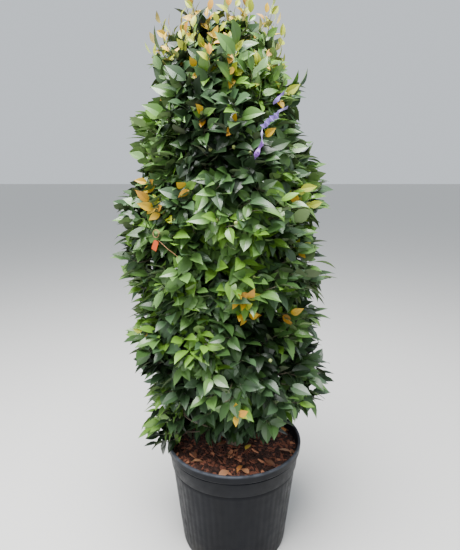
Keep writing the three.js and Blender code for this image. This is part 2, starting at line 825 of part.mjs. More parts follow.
function addPiece(group, name, geometry, colour, roughness) {
  const material = new THREE.MeshStandardMaterial({
    color: colour,
    roughness,
    metalness: 0,
    flatShading: true,
  });
  const mesh = new THREE.Mesh(geometry, material);
  mesh.name = name;
  group.add(mesh);
}

const plant = new THREE.Group();
plant.name = 'potted_camellia';

addPiece(plant, 'pot', toGeometry(toSolid(potGeometry())), COLOURS.pot, ROUGHNESS.pot);
addPiece(plant, 'soil', toGeometry(toSolid(soilGeometry())), COLOURS.soil, ROUGHNESS.soil);
addPiece(plant, 'trunk', toGeometry(trunkSolid()), COLOURS.bark, ROUGHNESS.bark);

const trunkRoom = trunkSolid(GAP);
for (const mass of masses) {
  if (mass.bough) {
    const { curve, radius, tipRadius } = mass.bough;
    const bough = toSolid(limb(curve, radius, tipRadius, BOUGH.sides, BOUGH.steps));
    const trimmed = joined([bough.subtract(trunkRoom)]);
    addPiece(plant, `bough_${mass.name}`, toGeometry(trimmed), COLOURS.bark, ROUGHNESS.bark);
  }
  const green = LEAF_GREENS[mass.level % LEAF_GREENS.length];
  addPiece(plant, `foliage_${mass.name}`, massGeometry(mass), green, ROUGHNESS.leaves);
}

export default plant;
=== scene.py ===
"""A camellia grown as a tall, dense column in a round nursery pot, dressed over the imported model."""

import math
import random
from collections import defaultdict, namedtuple

import bmesh
import bpy
import numpy as np
from bpy.props import FloatProperty, FloatVectorProperty, IntProperty, PointerProperty
from mathutils import Matrix, Vector, noise


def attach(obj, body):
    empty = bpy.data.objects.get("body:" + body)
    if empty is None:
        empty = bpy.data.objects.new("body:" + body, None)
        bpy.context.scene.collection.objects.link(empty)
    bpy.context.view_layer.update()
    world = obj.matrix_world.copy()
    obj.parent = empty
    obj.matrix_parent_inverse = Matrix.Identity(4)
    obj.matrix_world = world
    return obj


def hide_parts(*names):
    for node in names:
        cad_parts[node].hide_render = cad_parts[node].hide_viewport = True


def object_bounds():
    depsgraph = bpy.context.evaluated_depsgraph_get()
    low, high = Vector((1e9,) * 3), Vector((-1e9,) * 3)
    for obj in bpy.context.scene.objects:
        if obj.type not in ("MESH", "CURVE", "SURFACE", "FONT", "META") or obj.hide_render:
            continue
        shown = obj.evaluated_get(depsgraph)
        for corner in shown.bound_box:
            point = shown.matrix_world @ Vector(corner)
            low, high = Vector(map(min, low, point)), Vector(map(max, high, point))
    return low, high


bl_info = {
    "name": "Potted camellia",
    "version": (1, 0, 0),
    "blender": (4, 5, 0),
    "location": "3D view > Sidebar > Camellia",
    "description": "Dresses a camellia that stands in a nursery pot",
    "category": "Add Mesh",
}

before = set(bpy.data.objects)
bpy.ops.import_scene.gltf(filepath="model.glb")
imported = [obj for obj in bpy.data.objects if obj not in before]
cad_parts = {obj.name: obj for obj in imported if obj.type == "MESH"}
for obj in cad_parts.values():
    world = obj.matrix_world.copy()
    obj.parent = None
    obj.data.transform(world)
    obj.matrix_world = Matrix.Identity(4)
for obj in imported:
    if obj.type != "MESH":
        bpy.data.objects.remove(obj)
cad_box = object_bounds()

FULL_TURN = 2 * math.pi
QUARTER_TURN = math.pi / 2
GOLDEN_ANGLE = math.pi * (3 - math.sqrt(5))
UP = Vector((0, 0, 1))

# The sizes that follow are in metres and repeat those of the part's solids.

# Pot and soil
POT_HEIGHT = 0.495
POT_RIM = 0.300
POT_BASE = 0.2365
POT_BEVEL = 0.008
STEP_HEIGHT = 0.388
STEP_RADIUS = 0.279
BAND_RADIUS = 0.284
BAND_TOP_RADIUS = 0.291
LIP_HEIGHT = 0.036
LIP_RADIUS = 0.2985
LIP_WALL = 0.011
WALL = 0.007
POT_FLOOR = 0.005
GROOVE = 0.0035  # under the lip and under the band
SOIL_EDGE = 0.460
SOIL_TOP = 0.465

# Trunk
TRUNK_FOOT = 0.4653
TRUNK_TIP = 2.040
TRUNK_RADIUS = 0.024
TRUNK_TIP_RADIUS = 0.006
FLARE = 0.016
FLARE_HEIGHT = 0.038
FLARE_LOBES = 5
FLARE_LOBE_DEPTH = 0.3
LEAN = 0.058
SWAY = 0.011

# Crown: height, and reach to the viewer's left and right of the pot's axis
CROWN = [
    (0.430, 0.330, 0.280), (0.520, 0.430, 0.315), (0.640, 0.385, 0.320), (0.820, 0.415, 0.455),
    (1.010, 0.475, 0.350), (1.110, 0.435, 0.395), (1.190, 0.450, 0.300), (1.270, 0.475, 0.415),
    (1.450, 0.490, 0.345), (1.560, 0.505, 0.375), (1.680, 0.400, 0.360), (1.760, 0.435, 0.350),
    (1.870, 0.430, 0.275), (1.990, 0.305, 0.280), (2.120, 0.345, 0.210), (2.200, 0.345, 0.230),
    (2.310, 0.230, 0.165),
]
CROWN_TOP = 2.310
CROWN_DEPTH = 0.96
LOBE_DEPTH = 0.07
LOBE_COUNT = 3
LOBE_HEIGHT = 0.140
FOOT_LEFT, FOOT_RIGHT, FOOT_FRONT, FOOT_BACK = 0.440, 0.505, 0.600, 0.560
CREST_DROP = 0.170
CREST_RISE = 0.165

# Tiers of masses: height, count and turn
TIERS = [
    (0.640, 5, 0.1), (0.935, 5, 0.6), (1.230, 5, 0.1),
    (1.520, 5, 0.6), (1.795, 4, 0.3), (2.045, 3, 0.75),
]
TIER_SPREAD = 0.090
HEART_DEPTH = 0.56
HOLLOW_RADIUS = 0.096
HOLLOW_TIP_RADIUS = 0.055
HOLLOW_NARROWS = 1.700

# Boughs and stems
BOUGH_RADIUS = 0.0085
BOUGH_SHARE = 0.62
BOUGH_TAPER = 0.58
BOUGH_SHORT = 0.014
BOUGH_TIP_DROP = 0.055
BOUGH_RISE = 0.120
BOUGH_STAGGER = 0.032
BOUGH_LOWEST = 0.100
BOUGH_LOWEST_STAGGER = 0.016
BOUGH_ELBOW = 0.45
BOUGH_ELBOW_RISE = 0.35
STEM_RISE = 0.030
STEM_TAPER = 0.6

MASS_NODES = sorted(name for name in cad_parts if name.startswith("foliage_"))
BOUGH_NODES = sorted(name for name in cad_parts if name.startswith("bough_"))

Mass = namedtuple("Mass", "heart bough bough_radius stem stem_radius")
Spray = namedtuple("Spray", "tip outward growth kind young", defaults=(None,))
Leaf = namedtuple("Leaf", "root direction face size shape finish")


# Settings


def colour(name, description, default):
    return FloatVectorProperty(
        name=name, description=description, default=default, size=3, min=0.0, max=1.0, subtype="COLOR"
    )


def measure(name, description, default):
    return FloatProperty(name=name, description=description, default=default, unit="LENGTH")


def amount(name, description, default, low=0):
    return IntProperty(name=name, description=description, default=default, min=low)


class CamelliaPotSettings(bpy.types.PropertyGroup):
    flutes: amount("Flutes", "Upright flutes round the pot's wall", 60, 12)
    flute_depth: measure("Flute depth", "How deep each flute is pressed into the wall", 0.0009)
    plastic: colour("Plastic", "The pot's own colour", (0.0031, 0.0036, 0.0054))
    # Painted highlight: a paler colour along the top of the lip stands in for the light it catches
    rim_highlight: colour("Rim highlight", "Painted highlight along the top of the lip", (0.060, 0.066, 0.080))
    dust: colour("Dust", "Dried dirt low on the pot", (0.030, 0.027, 0.022))


class CamelliaSoilSettings(bpy.types.PropertyGroup):
    roughness: measure("Unevenness", "How far the soil's surface rises and falls", 0.007)
    chips: amount("Chips", "Bark chips on the soil", 1500, 10)
    chip_size: measure("Chip size", "Length of a bark chip", 0.027)
    fibres: amount("Fibres", "Thin strips of bark", 420)
    fibre_size: measure("Fibre size", "Length of a strip of bark", 0.048)
    seed: amount("Seed", "Sets where the chips lie", 4)
    earth: colour("Earth", "Moist compost between the chips", (0.020, 0.009, 0.006))
    dark: colour("Dark chips", "Most of the bark chips", (0.054, 0.021, 0.014))
    red: colour("Red chips", "Red-brown bark chips", (0.200, 0.066, 0.037))
    tan: colour("Tan chips", "Split, pale bark chips", (0.450, 0.185, 0.095))
    fallen_tan: colour("Tan leaves", "Dry leaves on the soil", (0.46, 0.215, 0.105))
    fallen_amber: colour("Amber leaves", "Leaves that fell lately", (0.50, 0.20, 0.05))
    fallen_yellow: colour("Yellow leaves", "Leaves that fell last", (0.72, 0.50, 0.05))
    fallen_brown: colour("Brown leaves", "Old leaves on the soil", (0.17, 0.065, 0.032))


class CamelliaWoodSettings(bpy.types.PropertyGroup):
    relief: measure("Bark relief", "How far the bark's ridges stand out", 0.0012)
    bark: colour("Bark", "Grey-brown bark", (0.105, 0.080, 0.058))
    crack: colour("Cracks", "Darker bark in the cracks", (0.050, 0.036, 0.026))
    twig: colour("Twigs", "Thin woody twigs", (0.105, 0.082, 0.056))
    young: colour("Young shoots", "Stems of this year's shoots", (0.120, 0.115, 0.045))


class CamelliaLeafSettings(bpy.types.PropertyGroup):
    length: measure("Leaf length", "From stalk to tip", 0.089)
    sprays: amount("Sprays", "Leafy twigs that end at the crown's side", 1170, 1)
    inner_sprays: amount("Inner sprays", "Leafy twigs further inside", 320)
    foot_sprays: amount("Foot sprays", "Leafy twigs under the crown", 56)
    shoots: amount("Shoots", "Upright shoots on the crown's top", 165)
    lumps: measure("Lumps", "How far the hollows between clusters reach in", 0.080)
    seed: amount("Seed", "Sets where the leaves lie", 21)
    # Painted shade: this darkest green stands in for the shade on the leaves low on the crown and inside it
    dark: colour("Dark green", "Old leaves low on the crown", (0.006, 0.017, 0.004))
    deep: colour("Deep green", "Old leaves in the shade", (0.026, 0.062, 0.014))
    blue: colour("Blue green", "Old leaves with a cool cast", (0.040, 0.084, 0.033))
    mid: colour("Mid green", "Grown leaves", (0.078, 0.166, 0.036))
    fresh: colour("Fresh green", "Leaves of this year", (0.105, 0.225, 0.024))
    lime: colour("Yellow green", "Young leaves", (0.260, 0.300, 0.008))
    amber: colour("Amber", "Youngest leaves, orange and yellow", (0.470, 0.290, 0.005))
    bronze: colour("Bronze", "Youngest leaves, brown and orange", (0.400, 0.195, 0.007))
    bud: colour("Buds", "Closed flower buds", (0.22, 0.27, 0.075))


class CamelliaTieSettings(bpy.types.PropertyGroup):
    lilac: colour("Lilac", "The largest ribbons", (0.19, 0.125, 0.40))
    pale: colour("Pale lilac", "The narrower ribbons", (0.24, 0.20, 0.40))
    violet: colour("Violet", "The lowest ribbon", (0.19, 0.065, 0.35))
    tag: colour("Tag", "The small plain tag", (0.46, 0.062, 0.006))
    string: colour("String", "The tag's string", (0.27, 0.135, 0.055))


class CamelliaStageSettings(bpy.types.PropertyGroup):
    floor: colour("Floor", "The stage's floor", (0.62, 0.61, 0.59))
    sky: colour("Surroundings", "Light from all round", (0.80, 0.86, 0.92))
    sky_strength: FloatProperty(
        name="Surrounding light", description="Strength of the light all round", default=0.92
    )
    lamp_power: FloatProperty(
        name="Lamp power", description="Power of the soft light above", default=700.0, unit="POWER"
    )


# Small helpers


def lerp(a, b, share):
    return a + (b - a) * share


def clamp(value, low=0.0, high=1.0):
    return max(low, min(high, value))


def rising(value, start, reach):
    """From 0 at a start to 1 a reach further on, and no less or more beyond them."""
    return clamp((value - start) / reach)


def jitter(rng, flat=False):
    """A short random vector, as likely one way as the other."""
    return Vector((rng.random() - 0.5, rng.random() - 0.5, 0 if flat else rng.random() - 0.5))


def angles(count):
    return [FULL_TURN * i / count for i in range(count)]


def level(angle):
    """The level direction at an angle round the axis."""
    return Vector((math.cos(angle), math.sin(angle), 0))


def square_to(vector, direction):
    """The part of a vector that is square to a direction, one unit long."""
    return (vector - direction * vector.dot(direction)).normalized()


def curve_point(curve, along):
    """A place on a curve that is given by its foot, elbow and tip."""
    foot, elbow, tip = curve
    return foot.lerp(elbow, along).lerp(elbow.lerp(tip, along), along)


def curve_points(curve, count):
    return [curve_point(curve, i / (count - 1)) for i in range(count)]


def point_on(points, along):
    """A place on a line of evenly spaced points."""
    place = along * (len(points) - 1)
    first = min(int(place), len(points) - 2)
    return points[first].lerp(points[first + 1], place - first)


def new_object(name, data):
    item = bpy.data.objects.new(name, data)
    bpy.context.scene.collection.objects.link(item)
    return item


def new_piece(name, mesh, slot, *materials):
    """A finished piece of the object: at the origin, with its materials, on the root body."""
    piece = new_object(name, mesh)
    for material in materials:
        mesh.materials.append(material)
    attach(piece, "root")
    return piece


def mesh_of(name, vertices, faces, smooth=True):
    mesh = bpy.data.meshes.new(name)
    mesh.from_pydata([tuple(v) for v in vertices], [], faces)
    mesh.validate()
    if smooth:
        mesh.shade_smooth()
    return mesh


def marked(mesh, label, domain, marks):
    """Gives a mesh a yes or no for each of its faces or edges."""
    mesh.attributes.new(label, "BOOLEAN", domain).data.foreach_set("value", marks)


def turn_outwards(mesh):
    shape = bmesh.new()
    shape.from_mesh(mesh)
    bmesh.ops.remove_doubles(shape, verts=shape.verts, dist=1e-6)
    bmesh.ops.recalc_face_normals(shape, faces=shape.faces)
    shape.to_mesh(mesh)
    shape.free()


def shaped_ball(name, move):
    """A coarse ball, one unit across, whose points a function moves."""
    shape = bmesh.new()
    bmesh.ops.create_icosphere(shape, subdivisions=1, radius=0.5)
    for vertex in shape.verts:
        move(vertex.co)
    mesh = bpy.data.meshes.new(name)
    shape.to_mesh(mesh)
    shape.free()
    return mesh


def tube_faces(rings, sides, first):
    """The faces of a closed tube whose rings of points start at a first point."""
    faces = []
    for i in range(rings - 1):
        for j in range(sides):
            a = first + i * sides + j
            b = first + i * sides + (j + 1) % sides
            faces.append((a, b, b + sides, a + sides))
    faces.append(tuple(first + j for j in reversed(range(sides))))
    faces.append(tuple(first + (rings - 1) * sides + j for j in range(sides)))
    return faces


def lathed(name, rows, sides, point_at):
    """A closed mesh of rows round the axis. The first and the last row are single points."""
    vertices = [point_at(rows[0], 0.0)]
    for row in rows[1:-1]:
        vertices += [point_at(row, angle) for angle in angles(sides)]
    vertices.append(point_at(rows[-1], 0.0))
    last = len(vertices) - 1
    last_row = last - sides
    faces = []
    for j in range(sides):
        after = (j + 1) % sides
        faces.append((0, 1 + j, 1 + after))
        for first in range(1, last_row, sides):
            faces.append((first + j, first + sides + j, first + sides + after, first + after))
        faces.append((last_row + j, last, last_row + after))
    mesh = mesh_of(name, vertices, faces)
    turn_outwards(mesh)
    return mesh


class Nodes:
    """Short ways to add nodes to a node tree."""

    def __init__(self, tree):
        self.tree = tree

    def feed(self, socket, value):
        """Links a socket to the output of a node, or sets it to a plain value."""
        if isinstance(value, bpy.types.NodeSocket):
            self.tree.links.new(value, socket)
        else:
            socket.default_value = value

    def node(self, kind, settings=None, **inputs):
        """Adds a node. An input is a plain value or the output of another node."""
        node = self.tree.nodes.new(kind)
        for label, value in (settings or {}).items():
            setattr(node, label, value)
        for label, value in inputs.items():
            self.feed(node.inputs[label.replace("_", " ")], value)
        return node


# Materials


class Surface(Nodes):
    """A material with one main shader."""

    def __init__(self, name, roughness, base=None, **shine):
        self.material = bpy.data.materials.new(name)
        self.material.use_nodes = True
        super().__init__(self.material.node_tree)
        self.shader = self.tree.nodes["Principled BSDF"]
        self.shader.inputs["Roughness"].default_value = roughness
        for label, value in shine.items():
            title = label.replace("_", " ").title().replace("Ior", "IOR")
            self.shader.inputs[title].default_value = value
        if base is not None:
            self.paint(base)

    def places(self, stretch=(1, 1, 1)):
        """Object coordinates, stretched along each axis."""
        coordinates = self.node("ShaderNodeTexCoord").outputs["Object"]
        return self.node("ShaderNodeMapping", Vector=coordinates, Scale=stretch).outputs["Vector"]

    def noise(self, scale, detail=4.0, stretch=(1, 1, 1), rough=0.5):
        inputs = {"Scale": scale, "Detail": detail, "Roughness": rough}
        return self.node("ShaderNodeTexNoise", Vector=self.places(stretch), **inputs).outputs["Fac"]

    def height(self):
        """Height above the ground, in metres."""
        return self.node("ShaderNodeSeparateXYZ", Vector=self.places()).outputs["Z"]

    def spread(self, value, low, high, to_low=0.0, to_high=1.0):
        """Spreads the part of a value that lies between two limits over a new range."""
        limits = {"From_Min": low, "From_Max": high, "To_Min": to_low, "To_Max": to_high}
        return self.node("ShaderNodeMapRange", Value=value, **limits).outputs["Result"]

    def times(self, first, second):
        node = self.node("ShaderNodeMath", {"operation": "MULTIPLY"})
        self.feed(node.inputs[0], first)
        self.feed(node.inputs[1], second)
        return node.outputs["Value"]

    def tint(self, socket, value):
        """Feeds a socket with a plain colour or with the output of a node."""
        plain = not isinstance(value, bpy.types.NodeSocket)
        self.feed(socket, (*value, 1.0) if plain else value)

    def mixed(self, share, first, second):
        node = self.node("ShaderNodeMix", {"data_type": "RGBA"}, Factor=share)
        self.tint(node.inputs[6], first)
        self.tint(node.inputs[7], second)
        return node.outputs[2]

    def paint(self, value):
        self.tint(self.shader.inputs["Base Color"], value)

    def dull(self, value):
        self.feed(self.shader.inputs["Roughness"], value)

    def raise_by(self, value, depth, strength=1.0):
        """Raises the surface by a value times a depth in metres."""
        bump = self.node("ShaderNodeBump", Height=value, Distance=depth, Strength=strength)
        self.feed(self.shader.inputs["Normal"], bump.outputs["Normal"])


CLOUDS_LIGHTER = 1.5
PATCHES_LIGHTER = 1.35


def pot_plastic(settings):
    """Dull moulded plastic, a little cloudy, with a painted highlight along the top of its lip and dusty
    near the ground.
    """
    surface = Surface("pot_plastic", roughness=0.5, specular_ior_level=0.12)
    cloud = surface.spread(surface.noise(scale=7.0, detail=6.0, stretch=(1, 1, 0.5)), low=0.35, high=0.7)
    body = surface.mixed(cloud, settings.plastic, [CLOUDS_LIGHTER * c for c in settings.plastic])
    # Painted highlight: a paler band along the top of the lip, broken up by noise
    rim = surface.spread(surface.height(), low=POT_HEIGHT - 0.010, high=POT_HEIGHT - 0.002)
    highlight_breaks = surface.spread(surface.noise(scale=24.0, detail=3.0), low=0.3, high=0.6, to_low=0.35)
    body = surface.mixed(surface.times(rim, highlight_breaks), body, settings.rim_highlight)
    near_ground = surface.spread(surface.height(), low=0.11, high=0.0)
    streaks = surface.noise(scale=16.0, detail=8.0, stretch=(1, 1, 0.2))
    dusty = surface.times(near_ground, surface.spread(streaks, low=0.45, high=0.75))
    surface.paint(surface.mixed(dusty, body, settings.dust))
    smears = surface.noise(scale=30.0, detail=5.0)
    surface.dull(surface.spread(smears, low=0.3, high=0.7, to_low=0.36, to_high=0.54))
    surface.raise_by(surface.noise(scale=420.0, detail=3.0), depth=0.0004, strength=0.5)
    return surface.material


def earth_surface(settings):
    """Moist compost, dark and crumbly."""
    surface = Surface("compost", roughness=0.95)
    lumps = surface.noise(scale=60.0, detail=8.0, rough=0.7)
    surface.paint(surface.mixed(surface.spread(lumps, low=0.4, high=0.7), settings.earth, settings.dark))
    surface.raise_by(lumps, depth=0.006)
    return surface.material


def chip_surface(name, base):
    """Bark chips, with the grain of split wood."""
    surface = Surface(name, roughness=0.85, base=base)
    surface.raise_by(surface.noise(scale=180.0, stretch=(1, 1, 4)), depth=0.001, strength=0.6)
    return surface.material


def bark_surface(settings):
    """Smooth grey-brown bark with shallow upright cracks."""
    surface = Surface("bark", roughness=0.8)
    grain = surface.noise(scale=70.0, detail=8.0, stretch=(1, 1, 0.18), rough=0.65)
    patches = surface.spread(surface.noise(scale=9.0), low=0.4, high=0.65)
    light = surface.mixed(patches, settings.bark, [PATCHES_LIGHTER * c for c in settings.bark])
    surface.paint(surface.mixed(surface.spread(grain, low=0.56, high=0.42), light, settings.crack))
    surface.raise_by(grain, depth=0.002)
    return surface.material


def twig_surface(name, base):
    """Thin wood, with a fine grain along it."""
    surface = Surface(name, roughness=0.65, base=base)
    surface.raise_by(surface.noise(scale=260.0, stretch=(1, 1, 0.3)), depth=0.0006, strength=0.6)
    return surface.material


COAT_ROUGHNESS = 0.27
# The underside: part of the upper side's colour, of white and of its green, and then a tint
UNDERSIDE_MIX = (0.55, 0.06, 0.35)
UNDERSIDE_TINT = (0.85, 1.0, 0.55)
UNDERSIDE_ROUGHNESS = 0.6


def leaf_surfaces(name, base, roughness, coat=0.0, sheen=0.5):
    """The upper side of a leaf, with its gloss, and its dull, paler underside."""
    shine = {"coat_weight": coat, "coat_roughness": COAT_ROUGHNESS, "specular_ior_level": sheen}
    upper = Surface(f"{name}_upper", roughness, base, **shine)
    own, white, green = UNDERSIDE_MIX
    pale = [clamp(own * c + white + green * base[1]) * tint for c, tint in zip(base, UNDERSIDE_TINT)]
    return upper.material, Surface(f"{name}_under", UNDERSIDE_ROUGHNESS, pale).material


# Geometry node trees


class Tree(Nodes):
    """A geometry node tree with named inputs."""

    def __init__(self, name, **inputs):
        super().__init__(bpy.data.node_groups.new(name, "GeometryNodeTree"))
        self.tree.is_modifier = True
        face = self.tree.interface
        face.new_socket("Geometry", in_out="INPUT", socket_type="NodeSocketGeometry")
        for label, kind in inputs.items():
            title = label.replace("_", " ").capitalize()
            face.new_socket(title, in_out="INPUT", socket_type=f"NodeSocket{kind}")
        face.new_socket("Geometry", in_out="OUTPUT", socket_type="NodeSocketGeometry")
        self.start = self.node("NodeGroupInput")
        self.end = self.node("NodeGroupOutput")

    def given(self, label):
        return self.start.outputs[label.replace("_", " ").capitalize()]

    def attribute(self, name, kind):
        node = self.node("GeometryNodeInputNamedAttribute", {"data_type": kind}, Name=name)
        return next(socket for socket in node.outputs if socket.enabled and socket.name == "Attribute")

    def scaled(self, vector, factor):
        node = self.node("ShaderNodeVectorMath", {"operation": "SCALE"}, Vector=vector, Scale=factor)
        return node.outputs["Vector"]

    def random_vector(self, low, high):
        limits = {"Min": low, "Max": high, "Seed": self.given("seed")}
        node = self.node("FunctionNodeRandomValue", {"data_type": "FLOAT_VECTOR"}, **limits)
        return node.outputs["Value"]

    def placed(self, points, shape, turn, **more):
        """Copies of a shape at points, turned by angles and made real."""
        rotation = self.node("FunctionNodeEulerToRotation", Euler=turn).outputs["Rotation"]
        inputs = {"Points": points, "Instance": shape, "Rotation": rotation, **more}
        copies = self.node("GeometryNodeInstanceOnPoints", **inputs).outputs["Instances"]
        return self.real(copies)

    def real(self, geometry):
        return self.node("GeometryNodeRealizeInstances", Geometry=geometry).outputs["Geometry"]

    def painted(self, geometry, label, **more):
        material = self.given(label)
        node = self.node("GeometryNodeSetMaterial", Geometry=geometry, Material=material, **more)
        return node.outputs["Geometry"]

    def finish(self, geometry):
        self.feed(self.end.inputs[0], geometry)
        return self.tree


def grown(tree, source, name, **values):
    """The plain mesh that a node tree makes of a source object, which is used up."""
    modifier = source.modifiers.new(tree.name, "NODES")
    modifier.node_group = tree
    for item in tree.interface.items_tree:
        label = item.name.lower().replace(" ", "_")
        if item.in_out == "INPUT" and label in values:
            modifier[item.identifier] = values[label]
    depsgraph = bpy.context.evaluated_depsgraph_get()
    mesh = bpy.data.meshes.new_from_object(source.evaluated_get(depsgraph), depsgraph=depsgraph)
    mesh.name = name
    source.modifiers.remove(modifier)
    bpy.data.objects.remove(source)
    return mesh


def points_mesh(name, places, edges=(), **attributes):
    """A mesh of loose points or lines with an attribute for each value that they carry."""
    mesh = bpy.data.meshes.new(name)
    mesh.from_pydata([tuple(place) for place in places], list(edges), [])
    for label, (kind, values) in attributes.items():
        field = "vector" if kind == "FLOAT_VECTOR" else "value"
        number = np.int32 if kind == "INT" else np.float32
        layer = mesh.attributes.new(label, kind, "POINT")
        layer.data.foreach_set(field, np.asarray(values, dtype=number).ravel())
    return mesh


def tube_tree():
    """Turns lines into round, closed twigs whose thickness is an attribute of their points."""
    tree = Tree("Camellia twigs", sides="Int", material="Material")
    lines = tree.node("GeometryNodeMeshToCurve", Mesh=tree.given("geometry")).outputs["Curve"]
    ring = tree.node("GeometryNodeCurvePrimitiveCircle", Resolution=tree.given("sides"), Radius=1.0)
    thickness = tree.attribute("thickness", "FLOAT")
    inputs = {"Profile_Curve": ring.outputs["Curve"], "Scale": thickness, "Fill_Caps": True}
    tube = tree.node("GeometryNodeCurveToMesh", Curve=lines, **inputs).outputs["Mesh"]
    return tree.finish(tree.painted(tree.real(tube), "material"))


LEAF_SHAPES = ("flat_leaf", "folded_leaf", "curled_leaf")


def leaf_tree():
    """Puts a leaf at each point, turned, sized and shaped by the point's own attributes."""
    kinds = dict.fromkeys(LEAF_SHAPES, "Object")
    tree = Tree("Camellia leaves", **kinds, upper="Material", underside="Material")
    shapes = tree.node("GeometryNodeJoinGeometry")
    for label in reversed(LEAF_SHAPES):
        shape = tree.node("GeometryNodeObjectInfo", Object=tree.given(label), As_Instance=True)
        tree.feed(shapes.inputs["Geometry"], shape.outputs["Geometry"])
    leaves = tree.placed(
        tree.given("geometry"),
        shapes.outputs["Geometry"],
        tree.attribute("turn", "FLOAT_VECTOR"),
        Pick_Instance=True,
        Instance_Index=tree.attribute("shape", "INT"),
        Scale=tree.attribute("size", "FLOAT"),
    )
    under = tree.attribute("under", "BOOLEAN")
    return tree.finish(tree.painted(tree.painted(leaves, "upper"), "underside", Selection=under))


OPEN_SOIL_AREA = 0.245  # square metres of soil that show round the trunk
SMALLEST_CHIP, LARGEST_CHIP = (0.35, 0.35, 0.5), (1.5, 1.3, 1.4)  # as parts of the given size


def chip_tree():
    """Scatters flat chips over the upper side of the soil."""
    inputs = {"count": "Int", "size": "Float", "tilt": "Float", "seed": "Int"}
    tree = Tree("Bark chips", **inputs, chip="Object", material="Material")
    density = tree.node("ShaderNodeMath", {"operation": "DIVIDE"})
    tree.feed(density.inputs[0], tree.given("count"))
    tree.feed(density.inputs[1], OPEN_SOIL_AREA)
    spread = tree.node(
        "GeometryNodeDistributePointsOnFaces",
        Mesh=tree.given("geometry"),
        Selection=tree.attribute("open", "BOOLEAN"),
        Density=density.outputs["Value"],
        Seed=tree.given("seed"),
    )
    tilt = tree.node("ShaderNodeCombineXYZ", X=tree.given("tilt"), Y=tree.given("tilt"), Z=math.pi)
    tilt = tilt.outputs["Vector"]
    turn = tree.random_vector(tree.scaled(tilt, -1.0), tilt)
    size = tree.scaled(tree.random_vector(SMALLEST_CHIP, LARGEST_CHIP), tree.given("size"))
    chip = tree.node("GeometryNodeObjectInfo", Object=tree.given("chip"), As_Instance=True)
    chips = tree.placed(spread.outputs["Points"], chip.outputs["Geometry"], turn, Scale=size)
    return tree.finish(tree.painted(chips, "material"))


# The plant's own rule, as in the part's solids


def crown_reach(height):
    """The middle and half the width of the crown at a height."""
    for (low, low_left, low_right), (high, high_left, high_right) in zip(CROWN, CROWN[1:]):
        if height < high:
            break
    share = clamp((height - low) / (high - low))
    left = lerp(low_left, high_left, share)
    right = lerp(low_right, high_right, share)
    return (right - left) / 2, (right + left) / 2


def crown_lobes(angle, height):
    return CROWN_DEPTH * (1 + LOBE_DEPTH * math.sin(LOBE_COUNT * angle + height / LOBE_HEIGHT))


def outline_point(angle, height):
    middle, half = crown_reach(height)
    depth = half * crown_lobes(angle, height)
    return Vector((middle + half * math.cos(angle), depth * math.sin(angle), height))


def crown_foot(angle):
    sideways = math.cos(angle) ** 2
    side = FOOT_LEFT if math.cos(angle) < 0 else FOOT_RIGHT
    end = FOOT_FRONT if math.sin(angle) < 0 else FOOT_BACK
    return side * sideways + end * (1 - sideways)


def outward_at(place):
    middle, _ = crown_reach(place.z)
    return Vector((place.x - middle, place.y, 0)).normalized()


def trunk_axis(height):
    rise = (height - TRUNK_FOOT) / (TRUNK_TIP - TRUNK_FOOT)
    x = -LEAN * rise + SWAY * math.sin(rise * FULL_TURN)
    return Vector((x, SWAY * math.sin(rise * math.pi * 3), height))


def trunk_radius(height):
    rise = (height - TRUNK_FOOT) / (TRUNK_TIP - TRUNK_FOOT)
    return lerp(TRUNK_RADIUS, TRUNK_TIP_RADIUS, rise)


def hollow_radius(height):
    narrowing = rising(height, HOLLOW_NARROWS, TRUNK_TIP - HOLLOW_NARROWS)
    return lerp(HOLLOW_RADIUS, HOLLOW_TIP_RADIUS, narrowing)


def bough_of(heart, outward, order):
    tip = trunk_axis(min(heart.z - BOUGH_TIP_DROP, TRUNK_TIP))
    tip.z = heart.z - BOUGH_TIP_DROP
    tip += outward * (hollow_radius(tip.z) - BOUGH_SHORT)
    below = BOUGH_RISE + BOUGH_STAGGER * order
    lowest = TRUNK_FOOT + BOUGH_LOWEST - BOUGH_LOWEST_STAGGER * order
    foot = trunk_axis(max(tip.z - below, lowest))
    elbow = foot.lerp(tip, BOUGH_ELBOW)
    elbow.z = lerp(foot.z, tip.z, BOUGH_ELBOW_RISE)
    return (foot, elbow, tip), min(BOUGH_RADIUS, BOUGH_SHARE * trunk_radius(foot.z))


def tier_masses():
    masses = []
    for tier_height, count, turn in TIERS:
        for i in range(count):
            order = (i * 2) % count
            angle = FULL_TURN * (i + turn) / count
            height = tier_height + TIER_SPREAD * (order / (count - 1) - 0.5)
            axis = trunk_axis(min(height, TRUNK_TIP))
            axis.z = height
            heart = axis.lerp(outline_point(angle, height), HEART_DEPTH)
            bough, radius = bough_of(heart, (heart - axis).normalized(), order)
            along = (bough[2] - bough[1]).normalized()
            head = heart + UP * STEM_RISE
            elbow = bough[2] + along * (bough[2] - head).length * 0.5
            stem = (bough[2], elbow, head)
            masses.append(Mass(heart, bough, radius, stem, radius * BOUGH_TAPER))
    return masses


def crest_mass():
    tip = trunk_axis(TRUNK_TIP)
    head = tip + UP * CREST_RISE
    return Mass(head, None, 0.0, (tip, tip.lerp(head, 0.5), head), TRUNK_TIP_RADIUS)


# Sprays: where leafy twigs end, and which way they grow

